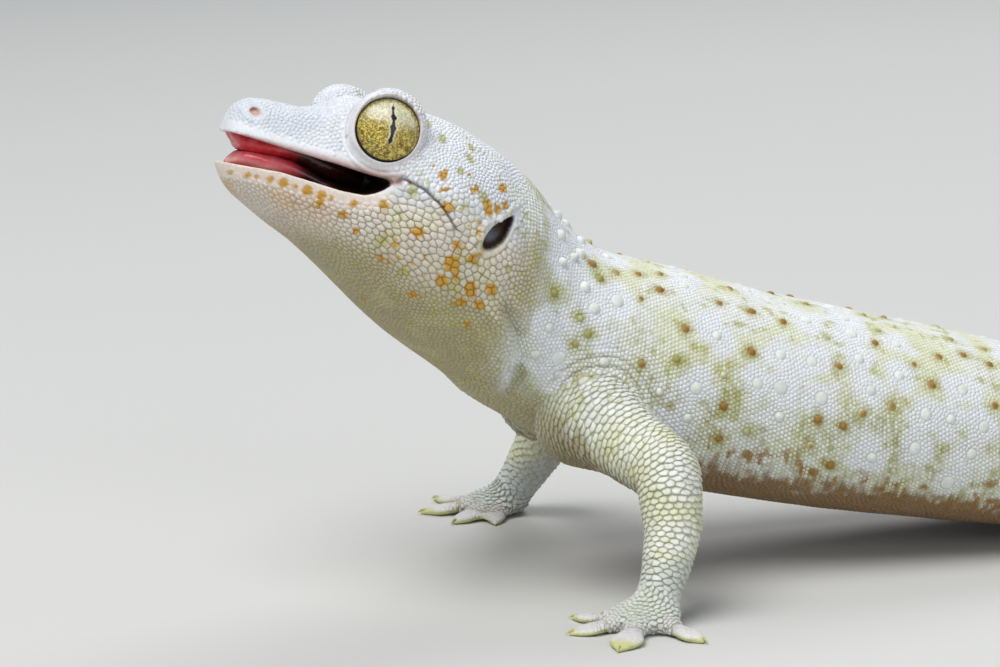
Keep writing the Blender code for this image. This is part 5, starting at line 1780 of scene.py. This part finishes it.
def setChart(made, name, chart):
    layer = made.data.uv_layers.new(name=name)
    corner = fetched(made.data.loops, "vertex_index", 1, np.int32)
    layer.data.foreach_set("uv", chart[corner].astype(np.float32).ravel())


# Materials.

socketNames = {
    "base": "Base Color", "roughness": "Roughness", "specular": "Specular IOR Level", "coat": "Coat Weight",
    "coatRoughness": "Coat Roughness", "subsurface": "Subsurface Weight", "spread": "Subsurface Radius",
    "depth": "Subsurface Scale",
}


def newMaterial(name, **values):
    # a new material, its node tree and its shader
    made = bpy.data.materials.new(name)
    made.use_nodes = True
    shader = made.node_tree.nodes["Principled BSDF"]
    for key, value in values.items():
        shader.inputs[socketNames[key]].default_value = value
    return made, made.node_tree, shader


def addNode(tree, kind, values=(), feeds=(), **settings):
    # a node with its settings, its constant sockets and the links into it
    node = tree.nodes.new("ShaderNode" + kind)
    for key, value in settings.items():
        setattr(node, key, value)
    for key, value in dict(values).items():
        node.inputs[key].default_value = value
    for key, source in dict(feeds).items():
        tree.links.new(source, node.inputs[key])
    return node


def addNoise(tree, scale, detail=2.0):
    coordinates = addNode(tree, "TexCoord").outputs["Object"]
    values = {"Scale": scale, "Detail": detail, "Roughness": 0.55}
    return addNode(tree, "TexNoise", values, {"Vector": coordinates}).outputs["Fac"]


def addTint(tree, shader, noise, dark, light, share):
    # the painted markings, darkened a little by the noise; dark and light are (position, colour)
    tint = addNode(tree, "ValToRGB", feeds={"Fac": noise})
    for element, (position, colour) in zip(tint.color_ramp.elements, (dark, light)):
        element.position = position
        element.color = colour + (1.0,)
    marking = addNode(tree, "Attribute", attribute_name="marking").outputs["Color"]
    feeds = {"A": marking, "B": tint.outputs["Color"]}
    blend = addNode(tree, "Mix", feeds=feeds, data_type="RGBA", blend_type="MULTIPLY")
    blend.inputs["Factor"].default_value = share
    tree.links.new(blend.outputs["Result"], shader.inputs["Base Color"])


grainForm = {"spread": 0.08, "strength": 0.35, "finer": 2.2, "share": 0.75}


def scaleMaterial(name, roughness, specular, grain, relief, **values):
    # painted markings with a fine grain and faint unevenness in each scale
    made, tree, shader = newMaterial(name, specular=specular, **values)
    noise = addNoise(tree, grain, 3.0)
    addTint(tree, shader, noise, (0.30, (0.80, 0.79, 0.76)), (0.68, (1.0, 1.0, 1.0)), grainForm["share"])
    values = {"To Min": roughness - grainForm["spread"], "To Max": roughness + grainForm["spread"]}
    spread = addNode(tree, "MapRange", values, {"Value": noise})
    tree.links.new(spread.outputs["Result"], shader.inputs["Roughness"])
    values = {"Strength": grainForm["strength"], "Distance": relief * mm}
    uneven = addNode(tree, "Bump", values, {"Height": addNoise(tree, grain * grainForm["finer"])})
    tree.links.new(uneven.outputs["Normal"], shader.inputs["Normal"])
    return made


def skinMaterial():
    # bare skin: wet inside the mouth, dry and finely creased elsewhere, with ridges across the toes
    made = scaleMaterial("gecko_skin", 0.58, 0.35, 2600.0, 0.05)
    tree = made.node_tree
    shader = tree.nodes["Principled BSDF"]
    addToeRidges(tree, shader)
    wet = addNode(tree, "Attribute", attribute_name="wetness").outputs["Fac"]
    dry = shader.inputs["Roughness"].links[0].from_socket
    gloss = addNode(tree, "Mix", {"B": 0.18}, {"Factor": wet, "A": dry})
    tree.links.new(gloss.outputs["Result"], shader.inputs["Roughness"])
    return made


toeForm = {"ridgePitch": 0.60, "ridgeDepth": 0.10, "from": 3.5, "to": 8.6}


def addToeRidges(tree, shader):
    # fine ridges across the toes, which fade out on the pads; the attribute is the way along the toe in mm
    def multiplied(a, b):
        node = addNode(tree, "Math", feeds={0: a}, operation="MULTIPLY")
        if isinstance(b, float):
            node.inputs[1].default_value = b
        else:
            tree.links.new(b, node.inputs[1])
        return node.outputs[0]

    def ramp(start, end):
        node = addNode(tree, "MapRange", {"From Min": start, "From Max": end}, {"Value": reach})
        return node.outputs["Result"]

    reach = addNode(tree, "Attribute", attribute_name="toeReach").outputs["Fac"]
    turn = multiplied(reach, 2 * math.pi / toeForm["ridgePitch"])
    wave = addNode(tree, "Math", feeds={0: turn}, operation="SINE").outputs[0]
    fade = multiplied(ramp(toeForm["from"] - 1.5, toeForm["from"]), ramp(toeForm["to"], toeForm["to"] - 3.0))
    below = shader.inputs["Normal"].links[0].from_socket
    values = {"Strength": 0.9, "Distance": toeForm["ridgeDepth"] * mm}
    ridges = addNode(tree, "Bump", values, {"Height": multiplied(wave, fade), "Normal": below})
    tree.links.new(ridges.outputs["Normal"], shader.inputs["Normal"])


eyePaint = {
    # the slit from top to bottom (across, over, half width)
    "slit": [(0.12, 3.05, 0.03), (0.06, 2.84, 0.17), (0.02, 2.45, 0.06), (-0.18, 2.00, 0.09),
             (-0.36, 1.60, 0.36), (-0.44, 1.15, 0.11), (-0.54, 0.70, 0.17), (-0.60, 0.28, 0.36),
             (-0.66, -0.20, 0.22), (-0.70, -0.65, 0.14), (-0.70, -1.05, 0.13), (-0.67, -1.42, 0.23),
             (-0.62, -1.85, 0.02)],
    "edge": 4.10,
    "sunk": 0.06,
    "back": 0.6,
    "columns": 320,
}


def makeEye(name, sign):
    bulge, columns = eyeForm["bulge"], eyePaint["columns"]
    reach = np.concatenate([np.linspace(0.03, 4.15, 72), np.linspace(4.22, eyeForm["radius"] - 0.01, 6)])
    across, over = [reach[:, None] * way(turns(columns, 0)) for way in (np.cos, np.sin)]
    ahead = bulge * np.sqrt(1 - (reach / eyeForm["radius"]) ** 2)[:, None] - eyePaint["sunk"]
    flat = np.stack(np.broadcast_arrays(across, over, ahead), -1)
    # behind the window the eye closes inside the head
    back = np.stack([across[-1] * 0.9, over[-1] * 0.9, np.full(columns, -eyePaint["back"])], -1)
    flat = np.concatenate([flat, back[None]])
    centre, axes = eyeFrame(sign)
    tips = [centre + axes[2] * (bulge - eyePaint["sunk"]), centre - axes[2] * eyePaint["back"]]
    made = shell(name, centre + flat @ np.array(axes), tips)
    setColour(made, "marking", eyeColour(np.concatenate([flat.reshape(-1, 3), np.zeros((2, 3))]), sign))
    return made


def eyeColour(flat, sign):
    x, y = flat[:, 0] * sign, flat[:, 1]
    radius = np.hypot(x, y)
    place = np.stack([x, y, np.full(len(x), 3.0 * sign)], -1)
    slit = np.array(eyePaint["slit"])[::-1]
    middle = np.interp(y, slit[:, 1], slit[:, 0])
    width = np.interp(y, slit[:, 1], slit[:, 2], left=-0.05, right=-0.05)
    off = np.abs(x - middle) - width + 0.05 * (cloud(place, 0.16, 41) - 0.5) - 0.05
    # fine dark lines wander over the iris, more or less radially
    warp = np.stack([cloud(place, 0.55, seed) for seed in (42, 43, 44)], -1) - 0.5
    polar = np.stack([np.arctan2(y, x - middle) * 2.6, radius * 1.1, np.full(len(x), sign)], -1) + warp * 0.9
    radial = ease(0.17, 0.03, np.abs(cloud(polar, 0.30, 45) - 0.5))
    netted = ease(0.15, 0.02, np.abs(cloud(place + warp * 0.25, 0.21, 46) - 0.5))
    dark = np.maximum(radial, 0.85 * netted)
    # painted reflection of the sky, paler towards the top of the eye; it also fades the dark lines under it
    sky = ease(-0.2, 1.6, y + 0.35 * (cloud(place, 1.3, 47) - 0.5)) * ease(4.2, 3.2, radius)
    specks = ease(0.70, 0.80, cloud(place, 0.26, 48)) * ease(0.8, -1.8, y)
    margin = ease(0.30, 0.10, off + 0.12 * (cloud(place, 0.45, 49) - 0.5))
    # the dark edge is painted shade where the lid meets the eye, broader below and in front
    rim = eyePaint["edge"] - 0.26 * np.clip((0.45 * x - 0.88 * y) / 4.1, 0, 1)
    return layered(
        plain("irisGold", flat),
        ("irisGreen", 0.35 * ease(2.4, 3.8, radius)),
        ("irisPaleAndSkyReflection", 0.68 * sky),
        ("irisOlive", dark * (0.85 - 0.45 * sky)),
        ("irisRust", 0.7 * specks),
        ("irisPaleAndSkyReflection", 0.62 * margin * ease(-2.6, -1.0, y)),
        ("irisRust", 0.45 * ease(0.16, 0.02, off)),
        ("irisBlack", 0.97 * ease(0.03, -0.03, off)),
        ("irisBlack", ease(rim - 0.09, rim + 0.05, radius)))


def eyeMaterial():
    looks = {"roughness": 0.42, "specular": 0.15, "coat": 0.45, "coatRoughness": 0.03}
    made, tree, shader = newMaterial("gecko_eye", **looks)
    addTint(tree, shader, addNoise(tree, 5200.0), (0.35, (0.62, 0.58, 0.46)), (0.62, (1.0, 1.0, 1.0)), 0.22)
    return made


tongueForm = {
    "count": 70,
    "columns": 64,
    "square": 2.3,
    # behind the snout tip, half width, top, thickness
    "rows": [(2.2, 1.0, -2.2, 0.8), (2.8, 2.2, -1.4, 1.4), (3.6, 3.2, -0.5, 2.3), (4.8, 4.1, 0.0, 3.0),
             (6.4, 5.0, 0.25, 3.6), (9.0, 5.7, 0.40, 3.8), (11.5, 6.0, -0.1, 3.2), (14.5, 6.0, -1.0, 2.4),
             (17.5, 5.0, -1.2, 2.2), (20.0, 3.6, -0.9, 1.8)],
}
palateForm = {
    "count": 60,
    "columns": 56,
    "square": 2.4,
    # behind the snout tip, half width, lowest level, thickness
    "rows": [(1.1, 1.0, 1.5, 0.9), (1.8, 2.2, 0.9, 1.5), (2.6, 3.1, 0.2, 2.2), (3.4, 3.8, -0.4, 2.8),
             (4.8, 4.6, -0.6, 3.2), (6.4, 5.2, -0.5, 3.3), (8.5, 5.7, -0.30, 3.0), (11.0, 6.2, -0.5, 3.2),
             (13.0, 6.2, -1.2, 3.8), (16.0, 5.6, -1.4, 3.8), (19.8, 3.8, -1.2, 2.8)],
}


def mouthRings(form, way):
    # how far behind the tip, the half width, the side, the rise and the sine round each ring
    knots, *rows = np.array(form["rows"]).T
    behind = np.linspace(knots[0], knots[-1], form["count"])
    width, level, thick = [curve(knots, row, behind)[:, None] for row in rows]
    angle = turns(form["columns"], 0)[None]
    side = width * squared(np.cos(angle), form["square"])
    rise = level + way * thick / 2 + thick / 2 * squared(np.sin(angle), form["square"])
    return behind[:, None] + 0 * side, width, side, rise, np.sin(angle)


def makeFlesh(name, behind, rise, side, colouring):
    made = shell(name, rolled(fromHead(behind, rise, side)))
    points = pointsOf(made)
    behind, above, _ = unrolled(points)
    setColour(made, "marking", colouring(points, behind, above))
    return made


def makePalate():
    behind, _, side, rise, sine = mouthRings(palateForm, 1)
    # low ridges run across it, and a furrow along its middle
    ridge = 0.07 * np.sin(behind * 5.2 + np.abs(side) * 0.9) + 0.25 * bump(side, 0.6)
    return makeFlesh("palate", behind, rise + ridge * (sine < 0), side, lambda points, behind, above: layered(
        plain("crimson", points),
        ("pink", 0.5 * ease(0.5, 0.75, cloud(points, 1.2, 53))),
        # painted shade deeper in the mouth
        ("deepMouthShade", 0.95 * ease(7.5, 11.0, behind))))


def makeTongue():
    behind, width, side, rise, sine = mouthRings(tongueForm, -1)
    # the edges of the tongue curl up, and a shallow furrow runs along its middle
    rise = rise + 0.35 * (side / width) ** 2 - 0.22 * bump(side, 0.7) * (sine > 0)
    rise = rise + 0.14 * (cloud(np.stack([behind, side, 0 * side], -1), 1.1, 51) - 0.5)
    notch = 0.7 * bump(side, 0.5) * ease(3.0, tongueForm["rows"][0][0], behind)
    return makeFlesh("tongue_top", behind + notch, rise, side, lambda points, behind, above: layered(
        plain("pink", points),
        ("crimson", 0.45 * ease(0.45, 0.7, cloud(points, 1.4, 52))),
        ("crimson", 0.45 * ease(6.5, 9.5, behind)),
        ("gum", 0.75 * ease(-1.0, -2.0, above) * ease(9.5, 7.0, behind)),
        # painted shade deeper in the mouth
        ("deepMouthShade", 0.92 * ease(9.0, 12.0, behind))))


def tongueMaterial():
    glow = {"subsurface": 0.25, "spread": (0.9, 0.25, 0.15), "depth": 1.2 * mm}
    return scaleMaterial("tongue_flesh", 0.24, 0.5, 1500.0, 0.12, **glow)


def makeClaws(name, limb):
    # a small curved claw at the end of each digit but the first
    centre, _, digits = handForm[limb]
    share = np.linspace(0, 1, 14)
    radius = (handForm["clawRadius"] * (1 - share) ** 0.7 + 0.02)[:, None]
    angle = turns(12, 0)[None]
    shells = []
    for degrees, length, _ in digits[1:]:
        ahead, aside = headingOf(degrees)
        start = np.array([*centre, 0.0]) + ahead * length * handForm["clawStart"]
        middle = start + ahead * (share * handForm["clawReach"])[:, None]
        middle[:, 2] = 0.58 + 0.16 * np.sin(share * math.pi * 0.8) - 0.48 * share**2
        rings = middle[:, None] + aside * (np.cos(angle) * radius * 0.8)[..., None]
        rings[..., 2] = np.maximum(rings[..., 2] + np.sin(angle) * radius, 0.03)
        shells.append(shell("claw", rings))
    made = joined(shells[0], shells[1:])
    made.name = made.data.name = name
    points = pointsOf(made)
    reach = np.linalg.norm(points[:, :2] - np.array(centre), axis=1)
    setColour(made, "marking", mixed(plain("claw", points), "padEdge", 0.5 * ease(14.0, 10.5, reach)))
    return made


# Putting it together.

def setValues(made, name, values):
    layer = made.data.attributes.new(name, "FLOAT", "POINT")
    layer.data.foreach_set("value", values.astype(np.float32))


def skinFinish():
    place = placeOf(skinPoints)[0]
    behind, above, _ = unrolled(skinPoints)
    colour = paint(skinPoints, skinNormals, place, earShare, mouthShare)
    groove = colour * paintGrooves(skinPoints, place)
    scaled = (bareShare < 0.5) & ~inMouth
    setColour(skin, "marking", mixed(colour, groove, scaled * (1.0 - 0.95 * lipBand(behind, above))))
    setValues(skin, "wetness", mouthShare * ease(11.0, 7.0, behind))
    setValues(skin, "toeReach", guides["along"][place] * (guides["part"][place] >= 6))


def findBare():
    # where no scales grow: the mouth, the eye, the nostril, the ear and the pads
    part, station, along, _, (behind, above, side) = whereIs(skinPoints, placeOf(skinPoints)[0])
    outward = np.abs(side)
    upper, lower = [np.abs(above - lipLevel(name, behind)) for name in ("upper", "lower")]
    lips = (upper < 0.80) | (lower < 0.80 - 0.35 * ease(9, 13, behind))
    bare = inMouth | lips & (behind < 21.5) & (part == 0) & (outward < 16)
    edges = edgesOf(skin)
    for _ in range(2):
        ends = bare[edges].any(axis=1)
        for side in (0, 1):
            np.logical_or.at(bare, edges[:, side], ends)
    for sign in (1, -1):
        across, over, ahead = inEye(skinPoints, sign)
        lidWidth = 0.50 + 1.25 * ease(-1.0, 2.0, across - 0.5 * over)
        bare |= (np.hypot(across, over) < eyeForm["window"] + lidWidth) & (ahead > -0.5)
    bare |= (noseReach(behind, above) < 0.85) & (outward > 2.5) & (behind < 10)
    bare |= (earShare < 1.35) & (outward > 10)
    reach, way = creaseReach(behind, above)
    bare |= (reach < 0.20) & (way > -0.02) & (way < 0.85) & (part == 0) & (outward > 8)
    bare |= (part >= 6) & (station > 0.5) & (along > 5.6)
    bare |= (skinPoints[:, 2] < 0.12) & (part >= 6)
    return bare.astype(float)


skin = makeSkin()
guides = makeGuides()
inMouth, earShare = shapeSkin()
print("skin shaped", len(skin.data.vertices), "points,", int(inMouth.sum()), "in the mouth")
skinPoints = pointsOf(skin)
skinNormals = normalsOf(skin)
skin.data.calc_loop_triangles()
skinTriangles = fetched(skin.data.loop_triangles, "vertices", 3, np.int32)
skinTree = BVHTree.FromPolygons(skinPoints.tolist(), skinTriangles.tolist())
bareShare = findBare()
spread = np.repeat(inMouth[:, None].astype(float), 3, 1)
spread = smoothed(spread, edgesOf(skin), np.full(len(skinPoints), 0.5), 4)
mouthShare = ease(0.35, 0.75, spread[:, 0])
tubercles, tubercleKinds = placeTubercles()
tubercleSizes = np.array([tubercleForm["radius"][kind] for kind in tubercleKinds])
tubercleSizes = tubercleSizes * draw.uniform(0.74, 1.12, len(tubercles))
tubercleReach = {kind: reachTo(tubercles[tubercleKinds == kind]) for kind in ("white", "ochre", "olive")}
print("tubercles:", len(tubercles))
coat = makeCoat()
skinFinish()
print("coat made")

scaleFinish = scaleMaterial("gecko_scales", 0.60, 0.30, 1900.0, 0.05)
skin.data.materials.append(skinMaterial())
for piece in coat:
    piece.data.materials.append(scaleFinish)
eyeFinish = eyeMaterial()
eyes = [makeEye("eyeLeft", 1), makeEye("eyeRight", -1)]
for piece in eyes:
    piece.data.materials.append(eyeFinish)
tongue = makeTongue()
palate = makePalate()
flesh = tongueMaterial()
for piece in (tongue, palate):
    piece.data.materials.append(flesh)
clawFinish = scaleMaterial("claw_horn", 0.35, 0.5, 2200.0, 0.04)
claws = [makeClaws("claws" + name[0].upper() + name[1:], name) for name in limbNames]
for piece in claws:
    piece.data.materials.append(clawFinish)
for piece in [skin, tongue, palate] + eyes + coat + claws:
    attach(piece, "root")
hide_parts("eye_left")
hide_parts("eye_right")
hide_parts("tongue")
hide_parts("head", "lower_jaw", "neck", "chest", "torso", "belly", "pelvis", "tail_1", "tail_2",
            "tail_3", "tail_4", "arm_left_upper", "arm_left_lower", "hand_left", "arm_right_upper",
            "arm_right_lower", "hand_right", "leg_left_upper", "leg_left_lower", "foot_left",
            "leg_right_upper", "leg_right_lower", "foot_right")
print("pieces placed")

floorForm = {"size": 4.0, "tone": (0.62, 0.62, 0.60, 1.0)}


def makeFloor():
    bpy.ops.object.select_all(action="DESELECT")
    bpy.ops.mesh.primitive_plane_add(size=floorForm["size"])
    floor = bpy.context.object
    floor.name = "studioFloor"
    made = newMaterial("studio_floor", base=floorForm["tone"], roughness=0.7, specular=0.2)[0]
    floor.data.materials.append(made)


lightForm = {
    # place, size and power of each soft light, in metres and watts; all aim at the head and shoulders
    "aim": (0.0, -0.085, 0.035),
    "lamps": [
        ("lampKey", (0.25, -0.55, 1.05), 0.95, 12.6, (1.0, 0.99, 0.97)),
        ("lampFill", (1.2, 0.15, 0.50), 0.9, 3.3, (0.96, 0.98, 1.0)),
        ("lampBack", (-0.7, 0.45, 0.8), 0.6, 4.5, (1.0, 1.0, 1.0)),
    ],
    "sky": (0.78, 0.86, 1.0, 1.0),
    "skyStrength": 0.26,
}


def placed(name, data, location, facing):
    # an object at this place that looks back along this way
    holder = bpy.data.objects.new(name, data)
    holder.location = location
    holder.rotation_euler = facing.to_track_quat("Z", "Y").to_euler()
    bpy.context.scene.collection.objects.link(holder)
    return holder


def makeLights():
    for name, place, size, power, tint in lightForm["lamps"]:
        lamp = bpy.data.lights.new(name, "AREA")
        lamp.shape, lamp.size, lamp.energy, lamp.color = "DISK", size, power, tint
        placed(name, lamp, place, Vector(place) - Vector(lightForm["aim"]))
    world = bpy.data.worlds.new("studioSky")
    world.use_nodes = True
    sky = world.node_tree.nodes["Background"].inputs
    sky["Color"].default_value = lightForm["sky"]
    sky["Strength"].default_value = lightForm["skyStrength"]
    bpy.context.scene.world = world
    bpy.context.scene.view_settings.view_transform = "Standard"


cameraForm = {
    "azimuth": math.radians(73.0),
    "elevation": math.radians(11.0),
    "distance": 0.475,
    "target": (0.0005, -0.1019, 0.033),
    "lens": 126.684,
    "sensor": 36.0,
    "clip": (0.01, 20.0),
}


def makeCamera():
    lens = bpy.data.cameras.new("photoCamera")
    lens.lens, lens.sensor_width = cameraForm["lens"], cameraForm["sensor"]
    lens.clip_start, lens.clip_end = cameraForm["clip"]
    a, e = cameraForm["azimuth"], cameraForm["elevation"]
    back = Vector((math.sin(a) * math.cos(e), -math.cos(a) * math.cos(e), math.sin(e)))
    place = Vector(cameraForm["target"]) + back * cameraForm["distance"]
    bpy.context.scene.camera = placed("photoCamera", lens, place, back)


makeFloor()
makeLights()
makeCamera()
